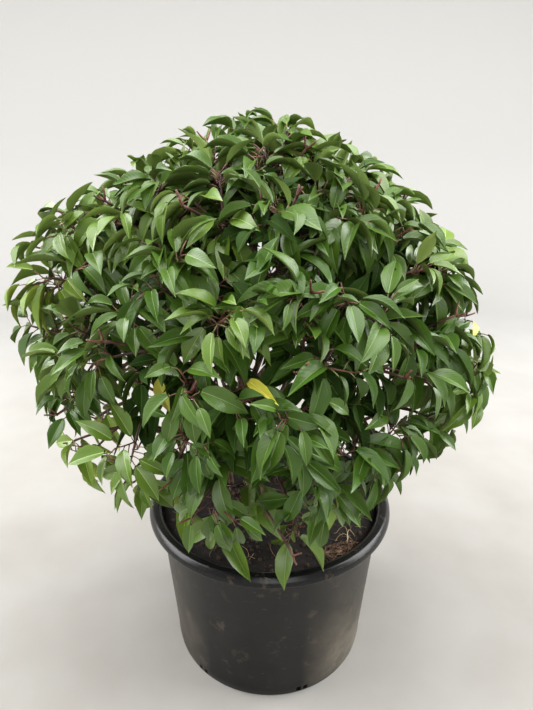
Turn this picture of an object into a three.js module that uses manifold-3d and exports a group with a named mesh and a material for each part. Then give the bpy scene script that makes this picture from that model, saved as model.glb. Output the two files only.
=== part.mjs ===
// A Portugal laurel clipped to a ball, in a round black nursery pot filled with potting soil.
// Millimetres, +Z up. The origin is the middle of the pot's flat underside and the front is -Y.
import * as THREE from "three";
import { mergeVertices } from "three/addons/utils/BufferGeometryUtils.js";
import Module from "manifold-3d";

const wasm = await Module();
wasm.setup();

// The gap left between solids that touch on the real plant.
const SEAT_GAP = 0.3;

// Pot: a tapering wall under a broad rolled rim, with drain openings round the foot.
const POT_SIDES = 36;
const POT_HEIGHT = 249;
const POT_FOOT_RADIUS = 150;
const POT_FOOT_ROUNDING = 5;
const POT_NECK_RADIUS = 168;
const POT_WALL = 3.5;
const POT_FLOOR = 5;
const RIM_RADIUS = 185;
const RIM_DEPTH = 18;
const RIM_MOUTH_RADIUS = 165;
const DRAIN_COUNT = 6;
const DRAIN_FIRST_DEG = -73;
const DRAIN_WIDTH = 17;
const DRAIN_HEIGHT = 10;
const DRAIN_DEPTH = 18;

// Soil: fills the pot to a little under the rim and drops slightly where it meets the wall.
const SOIL_TOP = 238;
const SOIL_EDGE_DROP = 4;
const SOIL_EDGE_WIDTH = 16;

// Trunk: short, leaning to the left, with a small flare where it leaves the soil.
const TRUNK_FOOT = [-24, -18];
const TRUNK_TIP = [-34, -8, 440];
const TRUNK_BELLY = [-60, -10, 362];
const TRUNK_RISE = 60;
const TRUNK_TIP_RADIUS = 5.4;
const TRUNK_GAIN = 5.2;
const FLARE_GAIN = 6.5;
const FLARE_HEIGHT = 15;

// Limbs: one bough to each mass of foliage, and a low shoot from the soil to each skirt mass.
const BOUGH_ROOT_RADIUS = 4.8;
const SHOOT_ROOT_RADIUS = 3.6;
const LIMB_TIP_RADIUS = 2.2;
const LIMB_SIDES = 5;
const LIMB_STEPS = 3;

// Crown: a ball with a fuller left shoulder and a lighter lower right side.
const CROWN_CENTRE = new THREE.Vector3(-20, -8, 503);
const CROWN_RADIUS = 295;
const CROWN_SWELLS = [
  { azimuth: -161, elevation: 27, gain: 0.1, width: 18 },
  { azimuth: -26, elevation: -4, gain: 0.07, width: 18 },
  { azimuth: -145, elevation: -18, gain: 0.02, width: 16 },
  { azimuth: -36, elevation: -36, gain: -0.12, width: 22 },
  { azimuth: -135, elevation: -42, gain: -0.1, width: 16 },
  { azimuth: -12, elevation: 62, gain: -0.04, width: 22 },
  { azimuth: -170, elevation: 58, gain: -0.05, width: 16 },
  { azimuth: -88, elevation: -55, gain: 0.2, width: 16 },
];

// Rings of foliage masses. Each mass sits at its ring's elevation, out from the crown's centre,
// and its bough leaves the trunk in the stretch that the ring takes up.
const RINGS = [
  { name: "top", count: 1, elevation: 90, first: 0, out: 176, trunk: [1, 1], arch: 0 },
  { name: "upper", count: 5, elevation: 46, first: -90, out: 180, trunk: [0.8, 0.95], arch: -10 },
  { name: "middle", count: 8, elevation: 7, first: -112, out: 180, trunk: [0.5, 0.76], arch: -8 },
  { name: "lower", count: 7, elevation: -30, first: -90, out: 178, trunk: [0.24, 0.44], arch: 22 },
];

// Skirt masses: small open tufts low over the soil, on shoots of their own.
const SKIRT_AZIMUTHS = [-116, -62, 38, 146];
const SKIRT_OUT = 118;
const SKIRT_HEIGHT = 322;
const SKIRT_ROOT_OUT = 74;

// Twigs and leaves.
const TWIGS_PER_MASS = 4;
const TWIGS_PER_SKIRT = 4;
const LEAVES_PER_TWIG = 5;
const TWIG_SPREAD_DEG = 23;
const TWIG_REACH = 0.93;
const TWIG_ROOT_RADIUS = 1.7;
const TWIG_TIP_RADIUS = 1;
const GOLDEN_TURN = 2.399963;
const LEAF_LENGTH = 80;
const LEAF_WIDTH = 35;
const LEAF_THICKNESS = 1.5;
const LEAF_FOLD = 0.13;
const LEAF_ARCH = 0.05;
const LEAF_TIP_DROP = 0.2;
const LEAF_DROOP = 0.42;
const LEAF_GAP = 4;
const CORE_REACH = 0.84;
const CORE_DETAIL = 4;
const CORE_ROUGHNESS = 0.07;
const CORE_LEAVES = 5;
const CORE_INSIDE = 0.46;
const CORE_FLOOR = 325;
const CORE_SHRINK = 1.5;

const UP = new THREE.Vector3(0, 0, 1);
const radians = THREE.MathUtils.degToRad;

const potMaterial = new THREE.MeshStandardMaterial({ color: 0x2e2f30, roughness: 0.5, metalness: 0 });
const soilMaterial = new THREE.MeshStandardMaterial({ color: 0x2a201a, roughness: 0.95, metalness: 0 });
const barkMaterial = new THREE.MeshStandardMaterial({ color: 0x5d4436, roughness: 0.85, metalness: 0 });
const foliageMaterial = new THREE.MeshStandardMaterial({ color: 0x3f6b33, roughness: 0.45, metalness: 0 });

/** A repeatable stream of numbers from 0 to 1. */
function seeded(seed) {
  let state = seed >>> 0;
  return () => {
    state = (Math.imul(state, 1664525) + 1013904223) >>> 0;
    return state / 4294967296;
  };
}

/** The unit vector at an azimuth and elevation in degrees. */
function heading(azimuth, elevation) {
  const a = radians(azimuth);
  const e = radians(elevation);
  return new THREE.Vector3(Math.cos(a) * Math.cos(e), Math.sin(a) * Math.cos(e), Math.sin(e));
}

/** A closed geometry as a solid that can be joined and cut. */
function solidFrom(geometry) {
  const bare = new THREE.BufferGeometry();
  bare.setAttribute("position", geometry.getAttribute("position"));
  bare.setIndex(geometry.getIndex());
  const merged = mergeVertices(bare, 1e-3);
  return new wasm.Manifold(
    new wasm.Mesh({
      numProp: 3,
      vertProperties: merged.getAttribute("position").array,
      triVerts: new Uint32Array(merged.getIndex().array),
    }),
  );
}

/** A solid's faces as a geometry. */
function geometryFrom(solid) {
  const { vertProperties, triVerts } = solid.getMesh();
  const geometry = new THREE.BufferGeometry();
  geometry.setAttribute("position", new THREE.BufferAttribute(vertProperties, 3));
  geometry.setIndex(new THREE.BufferAttribute(triVerts, 1));
  return geometry;
}

/** A solid as a named mesh. */
function meshFrom(name, solid, material) {
  const mesh = new THREE.Mesh(geometryFrom(solid), material);
  mesh.geometry.computeVertexNormals();
  mesh.name = name;
  return mesh;
}

/** The largest body of a joined solid, with its slivers taken out. */
function largestBody(joined) {
  const bodies = solidFrom(geometryFrom(joined.simplify(0.02))).decompose();
  return bodies.reduce((largest, body) => (body.volume() > largest.volume() ? body : largest));
}

/** A profile of [radius, height] points, turned round the Z axis. */
function turned(profile) {
  const points = profile.map(([r, z]) => new THREE.Vector2(r, z));
  return solidFrom(new THREE.LatheGeometry(points, POT_SIDES).rotateX(Math.PI / 2));
}

/** Two directions square to a direction and to each other. */
function crossFrame(along) {
  const aid = Math.abs(along.z) > 0.9 ? new THREE.Vector3(0, 1, 0) : UP;
  const side = new THREE.Vector3().crossVectors(aid, along).normalize();
  return [side, new THREE.Vector3().crossVectors(along, side)];
}

/** A tapering limb along a curve from start to end, both from 0 to 1, with flat ends. */
function limbSolid(curve, start, end, radiusAt, sides, steps, tipGap = 0) {
  const geometry = new THREE.CylinderGeometry(1, 1, 1, sides, steps);
  const position = geometry.getAttribute("position");
  const vertex = new THREE.Vector3();
  for (let i = 0; i < position.count; i += 1) {
    vertex.fromBufferAttribute(position, i);
    const t = start + (end - start) * (vertex.y + 0.5);
    const along = curve.getTangent(t);
    const [side, over] = crossFrame(along);
    const radius = radiusAt(t);
    const point = curve.getPoint(t);
    if (vertex.y > 0.49) point.addScaledVector(along, tipGap);
    point.addScaledVector(side, vertex.z * radius).addScaledVector(over, vertex.x * radius);
    position.setXYZ(i, point.x, point.y, point.z);
  }
  return solidFrom(geometry);
}

/** The pot with its rolled rim and drain openings. */
function potSolid() {
  const neck = POT_HEIGHT - RIM_DEPTH;
  const shell = turned([
    [0, 0],
    [POT_FOOT_RADIUS - POT_FOOT_ROUNDING, 0],
    [POT_FOOT_RADIUS, POT_FOOT_ROUNDING],
    [POT_NECK_RADIUS, neck],
    [RIM_RADIUS - 6, neck + 1],
    [RIM_RADIUS, neck + 8],
    [RIM_RADIUS - 1.5, neck + 13],
    [RIM_RADIUS - 6, neck + 17],
    [RIM_RADIUS - 11, POT_HEIGHT],
    [RIM_MOUTH_RADIUS + 3, POT_HEIGHT - 3],
    [RIM_MOUTH_RADIUS, POT_HEIGHT - 8],
    [POT_NECK_RADIUS - POT_WALL, neck - 4],
    [POT_FOOT_RADIUS - POT_WALL, POT_FLOOR],
    [0, POT_FLOOR],
  ]);
  const drains = Array.from({ length: DRAIN_COUNT }, (_, i) => {
    const azimuth = radians(DRAIN_FIRST_DEG + (i * 360) / DRAIN_COUNT);
    const box = new THREE.BoxGeometry(DRAIN_DEPTH, DRAIN_WIDTH, DRAIN_HEIGHT * 2);
    box.translate(POT_FOOT_RADIUS - DRAIN_DEPTH / 2 + 3, 0, 0).rotateZ(azimuth);
    return solidFrom(box);
  });
  return shell.subtract(wasm.Manifold.union(drains));
}

/** The soil that fills the pot. */
function soilSolid() {
  const neck = POT_HEIGHT - RIM_DEPTH;
  const neckRadius = POT_NECK_RADIUS - POT_WALL - SEAT_GAP;
  const footRadius = POT_FOOT_RADIUS - POT_WALL - SEAT_GAP;
  return turned([
    [0, POT_FLOOR + SEAT_GAP],
    [footRadius, POT_FLOOR + SEAT_GAP],
    [neckRadius, neck - 4],
    [neckRadius, SOIL_TOP - SOIL_EDGE_DROP],
    [neckRadius - SOIL_EDGE_WIDTH, SOIL_TOP],
    [0, SOIL_TOP],
  ]);
}

/** How far the crown reaches from its centre in a direction. */
function crownReach(direction) {
  return CROWN_SWELLS.reduce((reach, swell) => {
    const off = direction.angleTo(heading(swell.azimuth, swell.elevation)) / radians(swell.width);
    return reach + CROWN_RADIUS * swell.gain * Math.exp(-off * off);
  }, CROWN_RADIUS);
}

const trunkFoot = new THREE.Vector3(...TRUNK_FOOT, SOIL_TOP + SEAT_GAP);
const trunkCurve = new THREE.CubicBezierCurve3(
  trunkFoot,
  trunkFoot.clone().addScaledVector(UP, TRUNK_RISE),
  new THREE.Vector3(...TRUNK_BELLY),
  new THREE.Vector3(...TRUNK_TIP),
);

/** The trunk's radius along its curve, with the flare at its foot. */
function trunkRadius(t) {
  const height = (trunkCurve.getPoint(t).z - trunkFoot.z) / FLARE_HEIGHT;
  return TRUNK_TIP_RADIUS + TRUNK_GAIN * (1 - t) ** 1.3 + FLARE_GAIN * Math.exp(-height * height);
}

/** Every mass of foliage: its centre, and the curve and radius of the limb that carries it. */
function planMasses() {
  const masses = [];
  for (const ring of RINGS) {
    for (let i = 0; i < ring.count; i += 1) {
      const direction = heading(ring.first + (i * 360) / ring.count, ring.elevation);
      const share = ring.count > 1 ? ((i * 3) % ring.count) / (ring.count - 1) : 0;
      const centre = CROWN_CENTRE.clone().addScaledVector(direction, ring.out);
      const root = trunkCurve.getPoint(THREE.MathUtils.lerp(...ring.trunk, share) - 0.01);
      const elbow = root.clone().lerp(centre, 0.5).addScaledVector(UP, ring.arch);
      masses.push({
        name: ring.count > 1 ? `${ring.name}_${i + 1}` : ring.name,
        centre,
        direction,
        curve: new THREE.QuadraticBezierCurve3(root, elbow, centre),
        rootRadius: BOUGH_ROOT_RADIUS,
        onTrunk: true,
        twigs: TWIGS_PER_MASS,
      });
    }
  }
  SKIRT_AZIMUTHS.forEach((azimuth, i) => {
    const outward = heading(azimuth, 0);
    const centre = outward.clone().multiplyScalar(SKIRT_OUT).setZ(SKIRT_HEIGHT);
    const root = outward.clone().multiplyScalar(SKIRT_ROOT_OUT).setZ(SOIL_TOP + SEAT_GAP);
    const elbow = root.clone().setZ((SOIL_TOP + SKIRT_HEIGHT) / 2);
    masses.push({
      name: `skirt_${i + 1}`,
      centre,
      direction: centre.clone().sub(CROWN_CENTRE).normalize(),
      curve: new THREE.QuadraticBezierCurve3(root, elbow, centre),
      rootRadius: SHOOT_ROOT_RADIUS,
      onTrunk: false,
      twigs: TWIGS_PER_SKIRT,
    });
  });
  return masses;
}

const masses = planMasses();

// The middle of the plant is left to the limbs: foliage stays nearer its own mass's centre than
// any other mass's centre or any of these points.
const limbRoom = [CROWN_CENTRE, ...[0.3, 0.6, 0.95].map((t) => trunkCurve.getPoint(t))];

/** The planes that bound a mass's own space, with their normals turned inwards. */
function wallsOf(mass) {
  const others = [...masses.filter((m) => m !== mass).map((m) => m.centre), ...limbRoom];
  return others.map((other) => {
    const normal = mass.centre.clone().sub(other).normalize();
    const middle = mass.centre.clone().add(other).multiplyScalar(0.5);
    return { normal, offset: normal.dot(middle) };
  });
}
for (const mass of masses) mass.walls = wallsOf(mass);

/** How far a point lies inside a mass's own space, negative outside it. */
function depthInSpace(point, mass) {
  return Math.min(...mass.walls.map(({ normal, offset }) => normal.dot(point) - offset));
}

/** The radius of a mass's limb along its curve. */
function limbRadius(mass, t) {
  return THREE.MathUtils.lerp(mass.rootRadius, LIMB_TIP_RADIUS, t);
}

/** Where along its curve a mass's limb enters the mass's space. */
function entryOf(mass) {
  const depth = (t) => {
    const point = mass.curve.getPoint(t);
    const inward = mass.direction.dot(point.clone().sub(CROWN_CENTRE)) - CROWN_RADIUS * CORE_INSIDE;
    return Math.min(depthInSpace(point, mass), mass.onTrunk ? inward : Infinity) - limbRadius(mass, t);
  };
  let t = 0.2;
  while (t < 0.9 && depth(t) < 2) t += 0.01;
  return t;
}
for (const mass of masses) mass.entry = entryOf(mass);

/** Points with radii down the middle of every limb, for keeping foliage clear of them. */
function limbSpines() {
  const spine = (curve, end, radiusAt) =>
    Array.from({ length: 41 }, (_, i) => ({
      point: curve.getPoint((end * i) / 40),
      radius: radiusAt((end * i) / 40),
    }));
  return [
    ...spine(trunkCurve, 1, trunkRadius),
    ...masses.flatMap((mass) => spine(mass.curve, mass.entry, (t) => limbRadius(mass, t))),
  ];
}
const spines = limbSpines();

/** Whether a point stays clear of the limbs, the soil and the pot. */
function isFree(point, margin) {
  const out = Math.hypot(point.x, point.y);
  const overSoil = out < RIM_MOUTH_RADIUS - 6 && point.z > SOIL_TOP + 4;
  const overRim = point.z > POT_HEIGHT + 3;
  const outside = out > RIM_RADIUS + 4 && point.z > POT_HEIGHT - 40;
  if (!(overSoil || overRim || outside)) return false;
  return spines.every(({ point: q, radius }) => point.distanceTo(q) > radius + margin);
}

/** Points along the edges of a leaf, root left out. */
function leafSamples({ root, tip, left, right }) {
  const samples = [];
  for (let i = 1; i <= 6; i += 1) {
    samples.push(root.clone().lerp(left, i / 6), root.clone().lerp(right, i / 6));
    samples.push(left.clone().lerp(tip, i / 6), right.clone().lerp(tip, i / 6));
    samples.push(root.clone().lerp(tip, i / 6));
  }
  return samples;
}

/** The corners of one folded, drooping leaf. */
function leafShape(root, along, size) {
  const outward = root.clone().sub(CROWN_CENTRE).normalize();
  const over = UP.clone().multiplyScalar(0.75).addScaledVector(outward, 0.5);
  over.addScaledVector(along, -over.dot(along)).normalize();
  const side = new THREE.Vector3().crossVectors(along, over);
  const length = LEAF_LENGTH * size;
  const width = LEAF_WIDTH * size;
  const middle = root.clone().addScaledVector(along, 0.46 * length);
  middle.addScaledVector(over, LEAF_ARCH * length);
  const tip = root.clone().addScaledVector(along, 0.95 * length);
  tip.addScaledVector(over, -LEAF_TIP_DROP * length);
  const margin = (turn) => {
    const raised = middle.clone().addScaledVector(over, LEAF_FOLD * width);
    return raised.addScaledVector(side, (turn * width) / 2);
  };
  return {
    root,
    tip,
    left: margin(1),
    right: margin(-1),
    top: middle.clone().addScaledVector(over, LEAF_THICKNESS / 2),
    bottom: middle.clone().addScaledVector(over, -LEAF_THICKNESS / 2),
  };
}

/** A leaf's corners as a solid of eight faces. */
function leafSolid({ root, tip, left, right, top, bottom }) {
  const geometry = new THREE.BufferGeometry().setFromPoints([root, tip, left, right, top, bottom]);
  geometry.setIndex([0, 2, 4, 2, 1, 4, 1, 3, 4, 3, 0, 4, 2, 0, 5, 1, 2, 5, 3, 1, 5, 0, 3, 5]);
  return solidFrom(geometry);
}

/** Whether a leaf's point would sink into its mass's core or touch an earlier leaf. */
function isCrowded(sample, root, mass, placed) {
  if (sample.distanceTo(root) < 0.4 * LEAF_LENGTH) return false;
  const out = sample.clone().sub(CROWN_CENTRE);
  if (mass.onTrunk && out.length() < crownReach(out.clone().normalize()) * CORE_REACH) return true;
  return placed.some((other) => other.distanceTo(sample) < LEAF_GAP);
}

/** One leaf on a twig, turned, raised or shortened until it fits its space, or null. */
function fitLeaf(mass, root, axis, azimuth, firstTilt, size, placed) {
  const [side, over] = crossFrame(axis);
  for (let attempt = 0; attempt < 12; attempt += 1) {
    const turn = azimuth + attempt * 1.1;
    const tilt = firstTilt + (attempt % 2 ? 0.05 : -0.05) * attempt;
    const along = axis.clone().multiplyScalar(Math.cos(tilt));
    along.addScaledVector(side, Math.sin(tilt) * Math.cos(turn));
    along.addScaledVector(over, Math.sin(tilt) * Math.sin(turn));
    along.addScaledVector(axis, LEAF_DROOP * axis.z).addScaledVector(UP, -LEAF_DROOP).normalize();
    const shape = leafShape(root, along, size * (1 - attempt * 0.02));
    const corners = [shape.tip, shape.left, shape.right, shape.top, shape.bottom];
    const reach = shape.tip.clone().sub(CROWN_CENTRE);
    const samples = leafSamples(shape);
    const fits =
      corners.every((corner) => depthInSpace(corner, mass) > 0.6) &&
      reach.length() < crownReach(reach.clone().normalize()) &&
      samples.every((sample) => isFree(sample, 3) && !isCrowded(sample, root, mass, placed));
    if (fits) {
      placed.push(...samples);
      return leafSolid(shape);
    }
  }
  return null;
}

/** One of count points spread over a mass at a share of the crown's reach, drawn in until it fits. */
function spreadPoint(mass, index, count, share, random) {
  const [side, over] = crossFrame(mass.direction);
  const spread = radians(TWIG_SPREAD_DEG) * Math.sqrt((index + 0.5) / count);
  const turn = index * GOLDEN_TURN + random() * 0.6;
  for (let pull = 1; pull > 0.2; pull -= 0.12) {
    const aim = mass.direction.clone();
    aim.addScaledVector(side, Math.tan(spread * pull) * Math.cos(turn));
    aim.addScaledVector(over, Math.tan(spread * pull) * Math.sin(turn)).normalize();
    const point = CROWN_CENTRE.clone().addScaledVector(aim, crownReach(aim) * share);
    if (depthInSpace(point, mass) > 8 && isFree(point, 6)) return point;
  }
  return null;
}

/** The rough ball that the cores of all the masses are cut from. */
function coreBall() {
  const random = seeded(7);
  const sphere = new THREE.IcosahedronGeometry(1, CORE_DETAIL);
  sphere.deleteAttribute("normal");
  sphere.deleteAttribute("uv");
  const geometry = mergeVertices(sphere, 1e-3);
  const position = geometry.getAttribute("position");
  for (let i = 0; i < position.count; i += 1) {
    const ray = new THREE.Vector3().fromBufferAttribute(position, i).normalize();
    const reach = crownReach(ray) * CORE_REACH * (1 - CORE_ROUGHNESS * random());
    ray.multiplyScalar(reach).add(CROWN_CENTRE);
    position.setXYZ(i, ray.x, ray.y, ray.z);
  }
  return solidFrom(geometry).trimByPlane([0, 0, 1], CORE_FLOOR);
}

/** The dense inside of a mass: its share of the ball, down to the depth where its bough comes in. */
function coreSolid(mass, ball, limbHollow) {
  const inside = mass.direction.dot(CROWN_CENTRE) + CROWN_RADIUS * CORE_INSIDE;
  const share = mass.walls.reduce((solid, { normal, offset }) => {
    return solid.trimByPlane(normal.toArray(), offset + CORE_SHRINK);
  }, ball.trimByPlane(mass.direction.toArray(), inside));
  return share.subtract(limbHollow);
}

/** A mass's limb up to its entry, thickened and lengthened by a gap. */
function limbOf(mass, gap = 0) {
  return limbSolid(mass.curve, 0, mass.entry, (t) => limbRadius(mass, t) + gap, LIMB_SIDES, LIMB_STEPS, gap);
}
const limbHollow = wasm.Manifold.union(masses.map((mass) => limbOf(mass, SEAT_GAP)));
const ball = coreBall();

/** A mass of foliage: its stem, core, twigs and leaves joined into one solid. */
function massSolid(mass, seed) {
  const random = seeded(seed);
  const length = mass.curve.getLength();
  const start = mass.entry + SEAT_GAP / length;
  const pieces = [limbSolid(mass.curve, start, 1, (t) => limbRadius(mass, t), LIMB_SIDES, 2)];
  if (mass.onTrunk) pieces.push(coreSolid(mass, ball, limbHollow));
  const placed = [];
  for (let i = 0; i < mass.twigs; i += 1) {
    const tip = spreadPoint(mass, i, mass.twigs, TWIG_REACH - 0.08 * random(), random);
    if (!tip) continue;
    const root = mass.curve.getPoint(0.98 - 0.5 * (1 - mass.entry) * random());
    const elbow = root.clone().lerp(tip, 0.5).addScaledVector(UP, 0.08 * root.distanceTo(tip));
    const curve = new THREE.QuadraticBezierCurve3(root, elbow, tip);
    const radiusAt = (t) => THREE.MathUtils.lerp(TWIG_ROOT_RADIUS, TWIG_TIP_RADIUS, t);
    pieces.push(limbSolid(curve, 0, 1, radiusAt, 3, 2));
    for (let j = 0; j < LEAVES_PER_TWIG; j += 1) {
      const t = 0.98 - 0.045 * j;
      const tilt = radians(28 + 14 * j);
      const size = 0.88 + 0.24 * random();
      const azimuth = j * GOLDEN_TURN + 6 * random();
      const leaf = fitLeaf(mass, curve.getPoint(t), curve.getTangent(t), azimuth, tilt, size, placed);
      if (leaf) pieces.push(leaf);
    }
  }
  for (let i = 0; mass.onTrunk && i < CORE_LEAVES; i += 1) {
    const root = spreadPoint(mass, i, CORE_LEAVES, CORE_REACH * (0.97 - CORE_ROUGHNESS), random);
    const axis = root?.clone().sub(CROWN_CENTRE).normalize();
    const leaf = root && fitLeaf(mass, root, axis, 6 * random(), radians(50), 1, placed);
    if (leaf) pieces.push(leaf);
  }
  return largestBody(wasm.Manifold.union(pieces));
}

const plant = new THREE.Group();
plant.add(meshFrom("pot", potSolid(), potMaterial));
plant.add(meshFrom("soil", soilSolid(), soilMaterial));
plant.add(meshFrom("trunk", limbSolid(trunkCurve, 0, 1, trunkRadius, 10, 10), barkMaterial));
const trunkHollow = limbSolid(trunkCurve, 0, 1, (t) => trunkRadius(t) + SEAT_GAP, 10, 10, SEAT_GAP);
masses.forEach((mass, i) => {
  const limb = mass.onTrunk ? largestBody(limbOf(mass).subtract(trunkHollow)) : limbOf(mass);
  plant.add(meshFrom(`${mass.onTrunk ? "bough" : "shoot"}_${mass.name}`, limb, barkMaterial));
  plant.add(meshFrom(`foliage_${mass.name}`, massSolid(mass, 101 + 7919 * i), foliageMaterial));
});

export default plant;
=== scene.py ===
"""A Portugal laurel clipped to a ball, in a round black nursery pot filled with potting soil.

Metres, +Z up. The origin is the middle of the pot's flat underside and the front is -Y.
"""
import logging
import math
from collections.abc import Callable, Sequence
from dataclasses import dataclass, field
from enum import Enum

import bmesh
import bpy
import numpy as np
from mathutils import Matrix, Vector, noise


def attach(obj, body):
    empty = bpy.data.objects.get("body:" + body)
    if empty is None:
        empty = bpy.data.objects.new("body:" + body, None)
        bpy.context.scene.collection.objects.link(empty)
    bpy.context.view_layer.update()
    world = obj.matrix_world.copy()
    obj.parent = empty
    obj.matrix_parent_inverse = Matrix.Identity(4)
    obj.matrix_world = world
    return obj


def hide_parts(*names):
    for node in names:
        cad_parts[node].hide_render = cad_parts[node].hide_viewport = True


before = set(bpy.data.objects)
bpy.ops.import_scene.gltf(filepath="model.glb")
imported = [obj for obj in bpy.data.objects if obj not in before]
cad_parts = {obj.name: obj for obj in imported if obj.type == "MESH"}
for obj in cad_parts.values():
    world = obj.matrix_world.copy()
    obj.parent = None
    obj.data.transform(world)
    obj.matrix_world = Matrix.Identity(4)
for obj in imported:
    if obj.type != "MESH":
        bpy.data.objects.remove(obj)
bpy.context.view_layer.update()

LOG = logging.getLogger("laurel")
Array = np.ndarray
BODY = "root"

MM = 0.001
GOLDEN_TURN = 2.399963
DEALT_TURN = 6.28
UP = np.array((0.0, 0.0, 1.0))
ACROSS = np.array((0.0, 1.0, 0.0))


def srgb(text: str) -> tuple[float, float, float, float]:
    """Turns an sRGB hex colour to a linear one.

    Args:
        text: Six hex digits.

    Returns:
        Linear red, green, blue and an alpha of 1.
    """
    shares = [int(text[i:i + 2], 16) / 255 for i in (0, 2, 4)]
    linear = [s / 12.92 if s <= 0.04045 else ((s + 0.055) / 1.055) ** 2.4 for s in shares]
    return (*linear, 1.0)


def add_node(
    tree: bpy.types.NodeTree,
    kind: str,
    settings: dict | None = None,
    values: dict | None = None,
    links: dict | None = None,
) -> bpy.types.Node:
    """Adds a node to a tree with its settings, its constant inputs and its links.

    Args:
        tree: The material's or world's node tree.
        kind: The node's type name.
        settings: Attributes of the node.
        values: Constants by input name or number.
        links: Output sockets by input name or number.

    Returns:
        The new node.
    """
    node = tree.nodes.new(kind)
    for name, value in (settings or {}).items():
        setattr(node, name, value)
    for key, value in (values or {}).items():
        node.inputs[key].default_value = value
    for key, socket in (links or {}).items():
        tree.links.new(socket, node.inputs[key])
    return node


def wire(shader: bpy.types.Node, links: dict[str, bpy.types.NodeSocket]) -> None:
    """Links output sockets to a shader's inputs by their names."""
    for name, socket in links.items():
        shader.id_data.links.new(socket, shader.inputs[name])


def ramp(
    tree: bpy.types.NodeTree, factor: bpy.types.NodeSocket, stops: Sequence[tuple[float, str]]
) -> bpy.types.NodeSocket:
    """Adds a colour ramp.

    Args:
        tree: The material's node tree.
        factor: What the ramp reads.
        stops: Positions with their sRGB hex colours, lowest first.

    Returns:
        The ramp's colour.
    """
    node = add_node(tree, "ShaderNodeValToRGB", links={"Fac": factor})
    elements = node.color_ramp.elements
    while len(elements) < len(stops):
        elements.new(0.5)
    for element, (position, colour) in zip(elements, stops):
        element.position = position
        element.color = srgb(colour)
    return node.outputs["Color"]


def new_surface(name: str, constants: dict) -> tuple[bpy.types.Material, bpy.types.Node]:
    """Makes a material that holds one Principled shader.

    Args:
        name: The material's name.
        constants: Values for the shader's own sockets.

    Returns:
        The material and its shader.
    """
    material = bpy.data.materials.new(name)
    material.use_nodes = True
    tree = material.node_tree
    tree.nodes.clear()
    shader = add_node(tree, "ShaderNodeBsdfPrincipled", values=constants)
    add_node(tree, "ShaderNodeOutputMaterial", links={"Surface": shader.outputs["BSDF"]})
    return material, shader


@dataclass(frozen=True)
class LeafFinish:
    """A leathery evergreen leaf under a smooth waxy cuticle.

    The wax gives the upper face a soft sheen, and the side veins ripple it a little. The midrib is
    paler, and the underside paler and duller.
    """

    name: str
    upper: str
    rib: str
    under: str
    roughness: float = 0.38
    wax: float = 0.2
    shine: float = 0.5
    refraction: float = 1.42
    coat_roughness: float = 0.28
    rib_dulling: float = 0.1
    under_dulling: float = 0.24
    vein_spacing: float = 0.1
    vein_slant: float = 0.42
    vein_depth: float = 0.00008

    def face(self, name: str, colour: str, roughness: float, coat: float) -> bpy.types.Material:
        """Makes the material of one face of the leaf.

        Args:
            name: The material's name.
            colour: Its sRGB hex colour.
            roughness: Its roughness.
            coat: The weight of the wax on it.

        Returns:
            The material.
        """
        material, shader = new_surface(name, {
            "Base Color": srgb(colour), "Roughness": roughness, "IOR": self.refraction,
            "Specular IOR Level": self.shine, "Coat Weight": coat,
            "Coat Roughness": self.coat_roughness, "Coat IOR": self.refraction,
        })
        tree = material.node_tree
        place = add_node(tree, "ShaderNodeUVMap", {"uv_map": "UVMap"})
        parts = add_node(tree, "ShaderNodeSeparateXYZ", links={0: place.outputs["UV"]})
        aside = add_node(tree, "ShaderNodeMath", {"operation": "ABSOLUTE"},
                         links={0: parts.outputs["Y"]})
        slanted = add_node(tree, "ShaderNodeMath", {"operation": "MULTIPLY_ADD"},
                           {1: -self.vein_slant}, {0: aside.outputs[0], 2: parts.outputs["X"]})
        turns = add_node(tree, "ShaderNodeMath", {"operation": "MULTIPLY"},
                         {1: 2 * math.pi / self.vein_spacing}, {0: slanted.outputs[0]})
        veins = add_node(tree, "ShaderNodeMath", {"operation": "SINE"},
                         links={0: turns.outputs[0]})
        bump = add_node(tree, "ShaderNodeBump", values={
            "Strength": 0.5, "Distance": self.vein_depth,
        }, links={"Height": veins.outputs[0]})
        wire(shader, {"Normal": bump.outputs["Normal"]})
        return material

    def build(self) -> list[bpy.types.Material]:
        """Makes the upper face's, the midrib's and the underside's materials.

        Returns:
            The three materials in the order of a leaf's material numbers.
        """
        return [
            self.face(f"cuticle_{self.name}", self.upper, self.roughness, self.wax),
            self.face(f"midrib_{self.name}", self.rib, self.roughness + self.rib_dulling,
                      self.wax / 2),
            self.face(f"underside_{self.name}", self.under, self.roughness + self.under_dulling,
                      0.0),
        ]


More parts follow.
